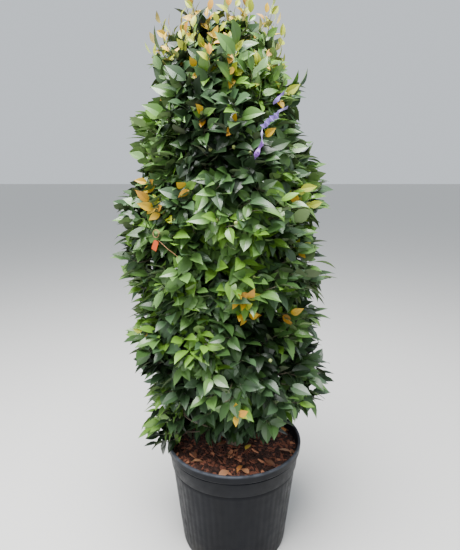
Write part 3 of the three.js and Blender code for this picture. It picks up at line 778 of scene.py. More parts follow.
# Pairs named FROM are a height from which something changes, and the reach over which it does
SPRAY_LEAVES = {"side": 8, "inner": 6, "foot": 6, "shoot": 11}
HOLLOW_WAVES = 7.0  # hollows between clusters, as waves in a metre
HOLLOW_CONTRAST = 1.1
HOLLOW_EASE = 1.4
FOOT_LUMPS = 2.1  # how much deeper the hollows are near the foot
FOOT_LUMPS_FROM = (0.65, 0.35)
FOOT_THINNING = 0.86  # below 1, fewer twigs end near the foot than further up
SIDE_RISES = (-0.35, 0.30)
SIDE_RISES_FROM = (0.5, 0.7)
TOP_RISE = 0.9
TOP_RISE_FROM = (1.9, 0.3)
RISE_SPREAD = 0.6
RISE_MIDDLE = 0.3  # below a half, chance raises twigs more than it lowers them
SIDEWAYS_SPREAD = 1.5
SIDE_SPREAD = 0.022
SIDE_PUSH = 0.016  # twigs end past the outline, because the leaves at their tips hang
SIDE_TOP = 2.180
SIDE_TOP_SPREAD = 0.150
HANG = 0.050  # from the tip of the lowest twigs to the lowest leaves
HANG_IN_FRONT = 0.140
FOOT_RAGGED = 0.080
FOOT_RAGS = 4.6
FOOT_SLANT = 0.050  # how much higher the foot is at the front's left and the back's right
# The furthest tips, to the left (-1) and the right (1), by their heights
FAR_TIPS = {
    -1: (1.740, 1.690, 1.640, 1.600, 1.560, 1.450, 1.250, 1.010, 0.550, 0.520),
    1: (0.820, 1.110, 1.270, 1.380, 1.420, 1.460, 1.560, 1.640, 1.700),
}
FAR_TIP_DEPTH = 0.012  # how far inside the outline the twigs end whose leaves reach furthest
FAR_TIP_TURNS = (0.0, 0.26)  # they stand at the crown's side and a little in front of it

# Tips in front, across and up, each with the colour of its young leaves
YOUNG_TIPS = [
    (-0.368, 1.646, "amber"), (-0.336, 1.603, "turning"), (-0.315, 1.570, "amber"),
    (-0.120, 1.876, "single"), (0.007, 1.864, "single"), (0.123, 1.822, "single"),
    (-0.193, 1.632, "single"), (0.018, 1.275, "amber"), (0.048, 1.278, "turning"),
    (0.043, 1.234, "lime"), (0.070, 1.178, "amber"), (0.252, 1.165, "single"),
    (0.005, 0.834, "amber"), (-0.156, 2.037, "amber"), (-0.002, 2.021, "lime"),
    (0.271, 1.626, "lime"), (0.312, 1.565, "lime"), (0.315, 1.407, "lime"),
    (0.215, 1.966, "lime"), (-0.414, 1.073, "lime"),
]
YOUNG_TIP_STANDS_OUT = 0.022
# Tips that hold the ribbons and the tag
TIED_TIPS = [
    (0.155, 1.920), (0.152, 1.868), (0.120, 1.845), (0.092, 1.800),
    (0.076, 1.750), (0.060, 1.715), (-0.266, 1.475), (-0.200, 1.395),
]
TIED_TIP_STANDS_BACK = 0.002
FRONT_RISES = (0.2, 0.4)  # the least, and what chance adds to it

# Twigs inside the crown: depth below its outline, and where the lowest and the highest end
INNER_DEPTHS = (0.10, 0.23)
INNER_ABOVE_FOOT = 0.04
INNER_TOP = CROWN_TOP - CREST_DROP * 1.3

# Twigs that close the crown's top: number, place in the spiral, height, how much lower the outermost
# ones end, what chance adds, reach as a part of the crown's, and lean
CAP_SPRAYS = 44
CAP_START = 0.3
CAP_HEIGHT = 2.125
CAP_SINKS = 0.05
CAP_SPREAD = 0.06
CAP_EDGE = 0.85
CAP_LEAN = 0.8

# Twigs under the crown: reach from the pot's axis, height, what chance adds, how far it turns them
# as a part of the step between them, and how they rise at most and with chance
UNDER_CROWN = (0.12, 0.30)
UNDER_CROWN_HEIGHT = 0.54
UNDER_CROWN_SPREAD = 0.06
UNDER_CROWN_STEP = 0.6
UNDER_CROWN_RISES = (0.1, -0.5)

# Shoots on the crown's top
TOP_GAP = 0.012  # between the highest twig's tip and the top of the object's box
SHOOT_DROP = 0.300  # from the highest shoot's tip to the lowest one's
SHOOT_CROWDING = 0.8  # below 1, more of them end low than high
SHOOT_LEAN = 0.3
SHOOT_SPREAD = 0.5


def side_growth(outward, height, rng):
    """Twigs rise a little outwards, and hang near the crown's foot."""
    sideways = Vector((-outward.y, outward.x, 0))
    rise = lerp(*SIDE_RISES, rising(height, *SIDE_RISES_FROM))
    rise += RISE_SPREAD * (rng.random() - RISE_MIDDLE)
    rise += TOP_RISE * rising(height, *TOP_RISE_FROM)
    return (outward + sideways * SIDEWAYS_SPREAD * (rng.random() - 0.5) + UP * rise).normalized()


def hollow_at(place):
    """From 0 on the clusters that stand out to 1 in the hollows between them."""
    return clamp(0.5 - HOLLOW_CONTRAST * noise.noise(place * HOLLOW_WAVES))


def lowest_tip(angle):
    """How low twigs end, so that the leaves that hang from them end at the crown's foot."""
    ragged = FOOT_RAGGED * noise.noise(level(angle) * FOOT_RAGS)
    slant = FOOT_SLANT * clamp(math.sin(2 * angle))
    return crown_foot(angle) + ragged + slant + lerp(HANG, HANG_IN_FRONT, clamp(-math.sin(angle)))


def side_spray(angle, height, inwards, rng, kind="side"):
    """A leafy twig that ends some way inwards of the crown's outline."""
    place = outline_point(angle, height)
    outward = outward_at(place)
    place -= outward * inwards
    return Spray(place, outward, side_growth(outward, height, rng), kind)


def side_sprays(settings, rng):
    sprays = []
    for i in range(settings.sprays):
        angle = i * GOLDEN_ANGLE
        share = (i + rng.random()) / settings.sprays
        top = SIDE_TOP - SIDE_TOP_SPREAD * rng.random()
        height = lerp(lowest_tip(angle), top, share**FOOT_THINNING)
        lumps = settings.lumps * lerp(FOOT_LUMPS, 1.0, rising(height, *FOOT_LUMPS_FROM))
        inside = lumps * hollow_at(outline_point(angle, height)) ** HOLLOW_EASE + SIDE_SPREAD * rng.random()
        sprays.append(side_spray(angle, height, inside - SIDE_PUSH, rng))
    for side, heights in FAR_TIPS.items():
        for height in heights:
            for turn in FAR_TIP_TURNS:
                angle = (0 if side > 0 else math.pi) - side * turn
                sprays.append(side_spray(angle, height, FAR_TIP_DEPTH, rng))
    return sprays


def front_spray(x, z, out, rng, young=None):
    """A leafy twig that ends in front, at a place across and up."""
    middle, half = crown_reach(z)
    place = outline_point(-math.acos(clamp((x - middle) / half, -1, 1)), z)
    outward = outward_at(place)
    least, more = FRONT_RISES
    growth = (outward + UP * (least + more * rng.random())).normalized()
    return Spray(place + outward * out, outward, growth, "side", young)


def front_sprays(rng):
    sprays = [front_spray(x, z, YOUNG_TIP_STANDS_OUT, rng, young) for x, z, young in YOUNG_TIPS]
    return sprays + [front_spray(x, z, -TIED_TIP_STANDS_BACK, rng) for x, z in TIED_TIPS]


def inner_sprays(settings, rng):
    sprays = []
    for i in range(settings.inner_sprays):
        angle = (i + 0.5) * GOLDEN_ANGLE
        share = (i + rng.random()) / settings.inner_sprays
        height = lerp(lowest_tip(angle) + INNER_ABOVE_FOOT, INNER_TOP, share)
        sprays.append(side_spray(angle, height, lerp(*INNER_DEPTHS, rng.random()), rng, "inner"))
    return sprays


def towards_edge(angle, height, share):
    """A place between the crown's middle and its edge, and the way outwards at that edge."""
    edge = outline_point(angle, height)
    middle, _ = crown_reach(height)
    return Vector((middle, 0, height)).lerp(edge, share), outward_at(edge)


def cap_sprays(rng):
    """Leafy twigs that close the crown's top between the shoots."""
    sprays = []
    for i in range(CAP_SPRAYS):
        share = math.sqrt((i + 0.5) / CAP_SPRAYS)
        height = CAP_HEIGHT - CAP_SINKS * share + CAP_SPREAD * rng.random()
        place, outward = towards_edge((i + CAP_START) * GOLDEN_ANGLE, height, CAP_EDGE * share)
        growth = (UP + outward * CAP_LEAN * share).normalized()
        sprays.append(Spray(place, outward, growth, "side"))
    return sprays


def foot_sprays(settings, rng):
    sprays = []
    for i in range(settings.foot_sprays):
        angle = FULL_TURN * (i + UNDER_CROWN_STEP * rng.random()) / settings.foot_sprays
        outward = level(angle)
        share = rng.random()
        place = outward * lerp(*UNDER_CROWN, share)
        place.z = lerp(UNDER_CROWN_HEIGHT, lowest_tip(angle), share) + UNDER_CROWN_SPREAD * rng.random()
        most, more = UNDER_CROWN_RISES
        growth = (outward + UP * (most + more * rng.random())).normalized()
        sprays.append(Spray(place, outward, growth, "foot"))
    return sprays


def shoot_sprays(settings, rng):
    middle, _ = crown_reach(CROWN_TOP)
    sprays = [Spray(Vector((middle, 0, cad_box[1][2] - TOP_GAP)), UP, UP, "shoot")]
    for i in range(settings.shoots):
        share = math.sqrt((i + 0.5) / settings.shoots)
        height = CROWN_TOP - SHOOT_DROP * rng.random() ** SHOOT_CROWDING
        place, outward = towards_edge(i * GOLDEN_ANGLE, height, share)
        growth = outward * SHOOT_LEAN * share + jitter(rng, flat=True) * SHOOT_SPREAD
        sprays.append(Spray(place, outward, (growth + UP).normalized(), "shoot"))
    return sprays


# Twigs

TWIG_SIDES, BRANCH_SIDES = 4, 6
TWIG_POINTS = 6
BRANCH_POINTS = 5
STEM_POINTS = 8
GROUP_SIZE = 7
GROUP_ROUNDS = 5
TWIG_RADII = (0.0024, 0.0012)
BRANCH_RADII = (0.0042, 0.0026)
SHOOT_THINNER = 0.8
FORK_SHARE = 0.52  # how far out from the stem a branch forks into twigs
FORK_SAG = 0.02
BRANCH_SAG = 0.015
BRANCH_DROP = 0.10  # how far below its twigs a branch leaves the stem
LOWEST_BRANCH = 0.1  # as a part of the stem
SHORTEST_STEM = 0.01
SHOOT_LEAF = 0.62  # length of a shoot's leaves, as a part of the leaf length
TWIG_SHORT = 0.9  # a twig ends this part of a leaf's length before its spray's tip


def nearest_mass(masses, place):
    return min(range(len(masses)), key=lambda i: (masses[i].heart - place).length_squared)


def grouped(places, size):
    """Deals places out into groups of neighbours, about as many in each as size says."""
    count = max(1, round(len(places) / size))
    points = np.array([tuple(place) for place in places])
    centres = points[:: max(1, len(points) // count)][:count].copy()
    for _ in range(GROUP_ROUNDS):
        distance = ((points[:, None, :] - centres[None, :, :]) ** 2).sum(axis=2)
        nearest = distance.argmin(axis=1)
        for i in range(len(centres)):
            if (nearest == i).any():
                centres[i] = points[nearest == i].mean(axis=0)
    groups = [np.flatnonzero(nearest == i) for i in range(len(centres))]
    return [(Vector(centre), group) for centre, group in zip(centres, groups) if len(group)]


def twig_end(spray, settings):
    leaf = SHOOT_LEAF if spray.kind == "shoot" else 1.0
    return spray.tip - spray.growth * settings.length * leaf * TWIG_SHORT


def branch_to(centre, stem):
    """The curve of a branch from a stem to the fork below a group of twigs."""
    height = (centre.z - BRANCH_DROP - stem[0].z) / max(stem[-1].z - stem[0].z, SHORTEST_STEM)
    foot = point_on(stem, clamp(height, low=LOWEST_BRANCH))
    fork = foot.lerp(centre, FORK_SHARE) - UP * FORK_SAG
    return foot, foot.lerp(fork, 0.5) - UP * BRANCH_SAG, fork


def grow(masses, sprays, settings):
    """The branches and twigs that carry the sprays: lines with a thickness at both ends."""
    branches = []
    twigs = [None] * len(sprays)
    by_mass = defaultdict(list)
    for number, spray in enumerate(sprays):
        by_mass[nearest_mass(masses, spray.tip)].append(number)
    for index, numbers in by_mass.items():
        mass = masses[index]
        stem = curve_points(mass.stem, STEM_POINTS)
        branches.append((stem, mass.stem_radius, mass.stem_radius * STEM_TAPER))
        ends = [twig_end(sprays[number], settings) for number in numbers]
        for centre, group in grouped(ends, GROUP_SIZE):
            branch = branch_to(centre, stem)
            fork = branch[-1]
            branches.append((curve_points(branch, BRANCH_POINTS), *BRANCH_RADII))
            for i in group:
                spray = sprays[numbers[i]]
                bend = ends[i] - spray.growth * (ends[i] - fork).length * 0.5
                thinner = SHOOT_THINNER if spray.kind == "shoot" else 1.0
                line = curve_points((fork, bend, ends[i]), TWIG_POINTS)
                twigs[numbers[i]] = (line, *(radius * thinner for radius in TWIG_RADII))
    return branches, twigs


# Leaves on a spray

# Size of the leaves on each kind of spray, as a part of the leaf length
OLD_SIZES = {"side": 1.0, "inner": 1.0, "foot": 1.0, "shoot": 0.80}
YOUNG_SIZES = {"side": 0.62, "shoot": 0.55}
YOUNG_TIP_SIZE = 1.05
SMALLEST_LEAF = 0.72
LEAF_SIZE_SPREAD = 0.4
LEAF_SPACING = 0.0185
SHOOT_SPACING = 1.35  # times as far apart
LEAFY_PART = 0.85  # the part of a twig that leaves may grow from
CHANGED_GREENS = 0.2  # the part of the deep and mid leaves that are blue or fresh instead
CHANGED_TO = {"deep": "blue", "mid": "fresh"}
# The form of a leaf that is tested against the limits, as parts of its length
LEAF_HALF_WIDTH = 0.26
LEAF_LIFT = 0.08
LEAF_CURL = 0.38
BOX_MARGIN = 0.002
RIM_MARGIN = 0.006
INSIDE_RIM = 0.025
ABOVE_SOIL = 0.014

# Roughness, weight of the clear coat and strength of the plain reflection
LEAF_GLOSS = {
    "dark": (0.42, 0.10, 0.28),
    "deep": (0.42, 0.15, 0.34),
    "blue": (0.42, 0.20, 0.42),
    "mid": (0.40, 0.22, 0.46),
    "fresh": (0.40, 0.22, 0.46),
    "lime": (0.55, 0.0, 0.5),
    "amber": (0.55, 0.0, 0.5),
    "bronze": (0.55, 0.0, 0.5),
}
# Places in front where fresh green shows: across, height, reach and the part of the sprays there
FRESH_PLACES = [
    (-0.16, 1.08, 0.07, 0.85), (-0.40, 1.12, 0.06, 0.65), (-0.34, 0.74, 0.07, 0.50),
    (-0.41, 0.55, 0.08, 0.85), (0.03, 0.78, 0.04, 0.80), (0.12, 1.46, 0.05, 0.60),
    (0.29, 1.57, 0.08, 0.50), (0.24, 1.97, 0.07, 0.35),
]
FRONT_DEPTH = 0.05  # what lies less deep than this counts as in front
# Greens of the grown leaves, from the lightest sprays to the darkest, and how light a spray has to be
GREENS = (
    (0.34, ("mid", "mid", "fresh")),
    (0.0, ("mid", "blue", "mid", "deep")),
    (-0.22, ("deep", "blue", "deep", "mid")),
    (-math.inf, ("dark", "dark", "dark", "dark", "deep", "blue")),
)
# Painted shade: twigs inside and under the crown get only the deeper greens and the dark green
HIDDEN_GREENS = ("deep", "dark", "blue")
GREEN_PATCHES = 3.1  # as waves in a metre
PATCHES_START = Vector((7, 3, 1))
# Painted light and shade on the leaves' greens: darker at the crown's foot, lighter further up
PAINTED_SHADE_TO_LIGHT = (-0.62, 0.20)  # at the crown's foot and further up
PAINTED_SHADE_TO_LIGHT_FROM = (0.5, 0.8)
# The colours of the leaves from a young tip inwards
YOUNG_LEAVES = {
    "amber": ("amber", "bronze", "amber", "amber", "lime"),
    "turning": ("bronze", "lime", "amber", "lime", "lime"),
    "lime": ("lime", "lime", "amber", "lime", "fresh"),
    "fresh": ("lime", "fresh", "lime", "fresh", "fresh"),
    "single": ("amber", "fresh", "bronze", "fresh", "fresh"),
}
YOUNG_COUNT = len(YOUNG_LEAVES["amber"])
YOUNG_AT_TOP = ("amber", "lime", "lime", "turning", "turning", "fresh")
YOUNG_FROM = (1.94, 0.16)
SHOOTS_YOUNG = 0.96  # part of the top's shoots that have coloured leaves
SIDE_YOUNG = 0.40  # the same at the side near the top
YOUNG_BEHIND = ("amber", "turning", "lime")
BEHIND_DEPTH = 0.1
HIDDEN_YOUNG = 0.02  # the same further down at the back; in front their places are given

DROOP = 0.40
TOP_DROOP = 0.15  # part of it that is left near the top
TOP_DROOP_FROM = (1.3, 0.6)
TIP_DROOP = 0.6  # the leaf at a twig's tip hangs less than the others
TIP_SPREAD = 0.4
SHOOT_TIP_DROOP = 0.1
LEAF_TURN_SPREAD = 0.7
FLATTENED = 0.75  # leaves stand off a twig more to its sides than up and down
NEARLY_UPRIGHT = 0.1
# How far a leaf follows its twig, stands off it and turns outwards
LEAF_ALONG, LEAF_OFF, LEAF_OUT = 0.50, 1.15, 0.30
SHOOT_ALONG, SHOOT_OFF, SHOOT_HANG = 0.85, 0.8, 0.12
HANG_SPREAD = 0.35
HANG_MIDDLE = 0.15
# Which way the upper side of a leaf looks
FACES_OUT = (0.45, 1.05)
FACES_OUT_FROM = (1.1, 0.9)
FACES_UP = 0.75
FACE_SPREAD = 0.9
YOUNG_TIP_FACES = Vector((0, -1, 0.25))  # where the leaves at these tips turn their upper side
YOUNG_TIP_TURN = 0.75
YOUNG_TIP_SPREAD = 0.5


def in_fresh_place(spray, rng):
    for x, z, reach, part in FRESH_PLACES:
        near = math.hypot(spray.tip.x - x, spray.tip.z - z) < reach
        if near and spray.tip.y < FRONT_DEPTH and rng.random() < part:
            return True
    return False


def old_finish(spray, rng):
    """The green of a spray: random patches, with painted light that makes it lighter towards the crown's
    top and painted shade that makes it deeper inside and near its foot.
    """
    if spray.kind in ("inner", "foot"):
        return rng.choice(HIDDEN_GREENS)
    if in_fresh_place(spray, rng):
        return "fresh"
    lightness = noise.noise(spray.tip * GREEN_PATCHES + PATCHES_START)
    lightness += lerp(*PAINTED_SHADE_TO_LIGHT, rising(spray.tip.z, *PAINTED_SHADE_TO_LIGHT_FROM))
    return rng.choice(next(greens for least, greens in GREENS if lightness > least))


def young_finish(spray, rng):
    """How the leaves at a spray's tip are coloured, or None where they are like the rest."""
    if spray.kind in ("inner", "foot"):
        return None
    share = (SHOOTS_YOUNG if spray.kind == "shoot" else SIDE_YOUNG) * rising(spray.tip.z, *YOUNG_FROM)
    if rng.random() < share:
        return rng.choice(YOUNG_AT_TOP)
    if spray.tip.y > BEHIND_DEPTH and rng.random() < HIDDEN_YOUNG:
        return rng.choice(YOUNG_BEHIND)
    return None


def leaf_face(root, direction, spray, rng):
    """The upper side of a leaf looks to the sky, and further up also outwards."""
    tilt = jitter(rng)
    if spray.young:
        shown = spray.outward.lerp(YOUNG_TIP_FACES, YOUNG_TIP_TURN)
        return square_to(shown + tilt * YOUNG_TIP_SPREAD, direction)
    facing = lerp(*FACES_OUT, rising(root.z, *FACES_OUT_FROM))
    return square_to(spray.outward * facing + UP * FACES_UP + tilt * FACE_SPREAD, direction)


def leaf_direction(spray, number, droop, rng):
    """The first leaf carries on from the twig, and the others stand off it in turn."""
    growth = spray.growth
    if number == 0:
        hang = SHOOT_TIP_DROOP if spray.kind == "shoot" else TIP_DROOP * droop
        return (growth + jitter(rng, flat=True) * TIP_SPREAD - UP * hang).normalized()
    side = growth.cross(UP)
    side = side.normalized() if side.length > NEARLY_UPRIGHT else Vector((1, 0, 0))
    over = side.cross(growth).normalized()
    turn = number * GOLDEN_ANGLE + rng.random() * LEAF_TURN_SPREAD
    around = side * math.cos(turn) + over * math.sin(turn) * FLATTENED
    if spray.kind == "shoot":
        return (growth * SHOOT_ALONG + around * SHOOT_OFF - UP * SHOOT_HANG).normalized()
    hang = droop + HANG_SPREAD * (rng.random() - HANG_MIDDLE)
    return (growth * LEAF_ALONG + around * LEAF_OFF + spray.outward * LEAF_OUT - UP * hang).normalized()


def allowed(point):
    """Whether a point of the foliage stays in the object's box and clear of the pot."""
    low, high = cad_box
    if any(point[i] < low[i] + BOX_MARGIN or point[i] > high[i] - BOX_MARGIN for i in range(3)):
        return False
    ring = math.hypot(point.x, point.y)
    if point.z > POT_HEIGHT + RIM_MARGIN or ring > POT_RIM + RIM_MARGIN:
        return True
    return ring < POT_RIM - INSIDE_RIM and point.z > SOIL_TOP + ABOVE_SOIL


def leaf_fits(root, direction, face, size):
    """Whether the tip and both sides of a leaf, straight or curled, are where leaves may be."""
    side = direction.cross(face) * LEAF_HALF_WIDTH * size
    middle = root + direction * size * 0.5 + face * LEAF_LIFT * size
    tip = root + direction * size
    curled_tip = tip - face * LEAF_CURL * size
    return all(allowed(place) for place in (tip, curled_tip, middle + side, middle - side))


def spray_leaves(spray, twig, settings, rng):
    """The leaves of one spray, from its tip inwards along its twig."""
    length = sum((b - a).length for a, b in zip(twig, twig[1:]))
    young = spray.young or young_finish(spray, rng)
    old = old_finish(spray, rng)
    droop = DROOP * rng.random() * lerp(1.0, TOP_DROOP, rising(spray.tip.z, *TOP_DROOP_FROM))
    spacing = LEAF_SPACING * (SHOOT_SPACING if spray.kind == "shoot" else 1.0)
    leaves = []
    for number in range(SPRAY_LEAVES[spray.kind]):
        root = point_on(twig, 1 - min(number * spacing / length, LEAFY_PART))
        direction = leaf_direction(spray, number, droop, rng)
        is_young = young is not None and number < YOUNG_COUNT
        kind_sizes = YOUNG_SIZES if is_young else OLD_SIZES
        size = settings.length * kind_sizes[spray.kind] * (SMALLEST_LEAF + LEAF_SIZE_SPREAD * rng.random())
        size *= YOUNG_TIP_SIZE if spray.young else 1.0
        face = leaf_face(root, direction, spray, rng)
        if not leaf_fits(root, direction, face, size):
            continue
        finish = YOUNG_LEAVES[young][number] if is_young else old
        if finish in CHANGED_TO and rng.random() < CHANGED_GREENS:
            finish = CHANGED_TO[finish]
        leaves.append(Leaf(root, direction, face, size, rng.randrange(len(LEAF_SHAPES)), finish))
    return leaves


# Meshes of the leaves and the wood

# A leaf is one unit long. Each row of its blade is a place along it and half the width there
BLADE_ROWS = ((0.20, 0.128), (0.36, 0.226), (0.55, 0.246), (0.75, 0.170), (0.90, 0.062))
BLADE_START = 0.10
BLADE_THICKNESS = 0.010
STALK = ((-0.04, 0.014), (0.16, 0.012))  # the place and the radius of both ends
STALK_SIDES = 3
# The three leaves that all others are copies of: fold along the midrib, droop of the tip and twist
LEAF_FORMS = {
    "leaf_flat": (0.16, 0.16, 0.05),
    "leaf_folded": (0.42, 0.26, -0.10),
    "leaf_curled": (0.28, 0.46, 0.22),
}
TRUNK_SIDES, TRUNK_RINGS = 40, 220
TRUNK_CROWDING = 1.4  # above 1, the trunk's rings lie closer near its foot
BOUGH_SIDES, BOUGH_RINGS = 14, 26
# The bark's ridges along the wood and across it, as waves in a metre
BARK_LENGTHS = 24
TRUNK_RIDGES = 150
BOUGH_RIDGES = 160
BARK_MIDDLE = 0.6  # above 0, the ridges lie mostly inside the wood's radius
FULL_RELIEF = 0.018  # the radius below which the relief grows less
BOUGH_RELIEF = 0.5


def leaf_mesh(name, fold, droop, twist):
    """A leaf along Y, with its upper side to +Z: a pointed blade, creased at its midrib, on a stalk."""

    def middle(y):
        return -droop * (y - BLADE_START) ** 2

    def place(x, y, lift):
        bend = twist * x * (y - BLADE_START)
        return (x, y, middle(y) + fold * abs(x) + bend + lift)

    def row(i):
        """The left edge, midrib, right edge and keel of a row. At both ends they are one point."""
        if i in (-1, len(BLADE_ROWS)):
            return [0 if i < 0 else 1] * 4
        return [2 + 4 * i + j for j in range(4)]

    vertices = [(0, BLADE_START, 0), (0, 1.0, middle(1.0))]
    for y, half in BLADE_ROWS:
        vertices += [place(-half, y, 0), place(0, y, BLADE_THICKNESS / 2)]
        vertices += [place(half, y, 0), place(0, y, -BLADE_THICKNESS / 2)]
    faces = []
    for i in range(-1, len(BLADE_ROWS)):
        left, ridge, right, keel = row(i)
        next_left, next_ridge, next_right, next_keel = row(i + 1)
        corners = [(left, ridge, next_ridge, next_left), (ridge, right, next_right, next_ridge)]
        corners += [(left, next_left, next_keel, keel), (keel, next_keel, next_right, right)]
        faces += [tuple(dict.fromkeys(face)) for face in corners]
    under = [False, False, True, True] * (len(BLADE_ROWS) + 1)
    faces += tube_faces(len(STALK), STALK_SIDES, len(vertices))
    under += [True] * (len(faces) - len(under))
    for y, radius in STALK:
        for angle in angles(STALK_SIDES):
            turn = QUARTER_TURN - angle
            height = middle(max(y, BLADE_START)) + radius * math.sin(turn)
            vertices.append((radius * math.cos(turn), y, height))
    mesh = mesh_of(name, vertices, faces)
    marked(mesh, "under", "FACE", under)
    creases = [{row(i)[j] for i in range(-1, len(BLADE_ROWS) + 1)} for j in range(3)]
    sharp = [any(set(edge.vertices) <= crease for crease in creases) for edge in mesh.edges]
    marked(mesh, "sharp_edge", "EDGE", sharp)
    return mesh


def barked(centre, outward, radius, relief, ridges):
    """A point of the bark, with ridges that run along the wood."""
    spot = centre + outward * radius
    ridge = noise.noise(Vector((spot.x * ridges, spot.y * ridges, spot.z * BARK_LENGTHS)))
    return centre + outward * (radius + relief * (ridge - BARK_MIDDLE))


def trunk_mesh(settings):
    """The trunk with level rings, a lobed root flare and shallow bark relief."""
    vertices = []
    for i in range(TRUNK_RINGS):
        height = lerp(TRUNK_FOOT, TRUNK_TIP, (i / (TRUNK_RINGS - 1)) ** TRUNK_CROWDING)
        for angle in angles(TRUNK_SIDES):
            lobes = 1 + FLARE_LOBE_DEPTH * math.cos(angle * FLARE_LOBES)
            flare = FLARE * lobes * math.exp(-(height - TRUNK_FOOT) / FLARE_HEIGHT)
            radius = trunk_radius(height) + flare
            relief = settings.relief * min(1.0, radius / FULL_RELIEF)
            vertices.append(barked(trunk_axis(height), level(angle), radius, relief, TRUNK_RIDGES))
    return mesh_of("trunk_bark", vertices, tube_faces(TRUNK_RINGS, TRUNK_SIDES, 0))


def boughs_mesh(masses, settings):
    vertices = []
    faces = []
    for mass in masses:
        faces += tube_faces(BOUGH_RINGS, BOUGH_SIDES, len(vertices))
        line = curve_points(mass.bough, BOUGH_RINGS)
        for i, centre in enumerate(line):
            radius = lerp(mass.bough_radius, mass.bough_radius * BOUGH_TAPER, i / (BOUGH_RINGS - 1))
            tangent = (line[min(i + 1, BOUGH_RINGS - 1)] - line[max(i - 1, 0)]).normalized()
            side = square_to(Vector((1, 0, 0)), tangent)
            front = tangent.cross(side)
            for angle in angles(BOUGH_SIDES):
                outward = side * math.cos(angle) + front * math.sin(angle)
                relief = settings.relief * BOUGH_RELIEF
                vertices.append(barked(centre, outward, radius, relief, BOUGH_RIDGES))
    return mesh_of("boughs_bark", vertices, faces)


def lines_mesh(name, lines, tree, sides, material):
    """Round twigs along lines, each given by its points and its thickness at both ends."""
    places = []
    edges = []
    thickness = []
    for points, thick, thin in lines:
        first = len(places)
        places += points
        edges += [(first + i, first + i + 1) for i in range(len(points) - 1)]
        thickness += [lerp(thick, thin, i / (len(points) - 1)) for i in range(len(points))]
    mesh = points_mesh(name, places, edges, thickness=("FLOAT", thickness))
    return grown(tree, new_object(name, mesh), name, sides=sides, material=material)


def leaves_mesh(name, leaves, tree, shapes, materials):
    turns = []
    for leaf in leaves:
        side = leaf.direction.cross(leaf.face)
        turns.append(tuple(Matrix((side, leaf.direction, leaf.face)).transposed().to_euler()))
    mesh = points_mesh(
        name,
        [leaf.root for leaf in leaves],
        turn=("FLOAT_VECTOR", turns),
        size=("FLOAT", [leaf.size for leaf in leaves]),
        shape=("INT", [leaf.shape for leaf in leaves]),
    )
    upper, under = materials
    values = dict(zip(LEAF_SHAPES, shapes))
    return grown(tree, new_object(name, mesh), name, upper=upper, underside=under, **values)


# Pot

UNDERSIDE = 0.003  # the underside stands this high inside the ring that the pot rests on
# The wall's rows: height, and the part of the flutes' depth there
FLUTED = ((0.030, 0.0), (0.045, 1.0), (0.120, 1.0), (0.210, 1.0), (0.300, 1.0), (0.366, 1.0), (0.378, 0.0))
LIP_ROUNDING = 0.005
INNER_ROUNDING = 0.002
FLUTE_POINTS = 6  # points round the wall for each flute
SHARP_ANGLE = math.radians(40)


def inner_wall(height):
    slope = (STEP_RADIUS - POT_BASE) / STEP_HEIGHT
    return POT_BASE + slope * height - WALL


def pot_outline():
    """The pot's outline from the middle of its underside, over its lip, to the middle of its floor.
    Each row is a radius and a height. A third number is the part of the flutes' depth there."""
    lip_foot = POT_HEIGHT - LIP_HEIGHT
    foot = [(0.0, UNDERSIDE), (0.150, UNDERSIDE), (POT_BASE - 0.022, UNDERSIDE), (POT_BASE - 0.019, 0.0)]
    foot += [(POT_BASE - POT_BEVEL, 0.0), (POT_BASE - 0.002, 0.0022), (POT_BASE, POT_BEVEL)]
    wall = [(lerp(POT_BASE, STEP_RADIUS, z / STEP_HEIGHT), z, share) for z, share in FLUTED]
    band = [
        (STEP_RADIUS - GROOVE, STEP_HEIGHT - 0.003),
        (STEP_RADIUS - GROOVE, STEP_HEIGHT - 0.0005),
        (STEP_RADIUS + 0.001, STEP_HEIGHT),
        (BAND_RADIUS - 0.0015, STEP_HEIGHT + 0.001),
        (BAND_RADIUS, STEP_HEIGHT + 0.004),
        (BAND_TOP_RADIUS - 0.0005, lip_foot - 0.008),
        (BAND_TOP_RADIUS - GROOVE, lip_foot - 0.004),
        (BAND_TOP_RADIUS - GROOVE, lip_foot - 0.0005),
    ]
    lip = [
        (BAND_TOP_RADIUS + 0.001, lip_foot),
        (LIP_RADIUS - 0.003, lip_foot + 0.0008),
        (LIP_RADIUS - 0.0005, lip_foot + 0.004),
        (LIP_RADIUS, lip_foot + 0.008),
        (POT_RIM - 0.0006, POT_HEIGHT - 0.009),
    ]
    for angle in (QUARTER_TURN * i / 4 for i in range(5)):
        out = POT_RIM - LIP_ROUNDING + LIP_ROUNDING * math.cos(angle)
        lip.append((out, POT_HEIGHT - LIP_ROUNDING + LIP_ROUNDING * math.sin(angle)))
    inner = POT_RIM - LIP_WALL
    for angle in (QUARTER_TURN * i / 3 for i in range(4)):
        out = inner + INNER_ROUNDING * (1 - math.sin(angle))
        lip.append((out, POT_HEIGHT - INNER_ROUNDING * (1 - math.cos(angle))))
    inside = [(inner - 0.0015, lip_foot + 0.010), (inner_wall(lip_foot), lip_foot)]
    inside += [(inner_wall(POT_FLOOR), POT_FLOOR), (0.0, POT_FLOOR)]
    return foot + wall + band + lip + inside


def pot_mesh(settings):
    def point_at(row, angle):
        radius, height, *share = row
        wave = 0.5 - 0.5 * math.cos(angle * settings.flutes)
        radius -= settings.flute_depth * sum(share) * wave**2
        return radius * math.cos(angle), radius * math.sin(angle), height

    mesh = lathed("pot_shell", pot_outline(), settings.flutes * FLUTE_POINTS, point_at)
    mesh.set_sharp_from_angle(angle=SHARP_ANGLE)
    return mesh


# Soil

SOIL_SIDES, SOIL_RINGS = 140, 42
SOIL_GAP = 0.0006  # between the soil and the pot
SOIL_SINK = 0.003
SOIL_SLOPES_TO = 0.28
# Its waves: waves in a metre, where the pattern starts, and part of the unevenness
SOIL_WAVES = ((9, 1.5, 0.7), (45, 3.5, 0.35))
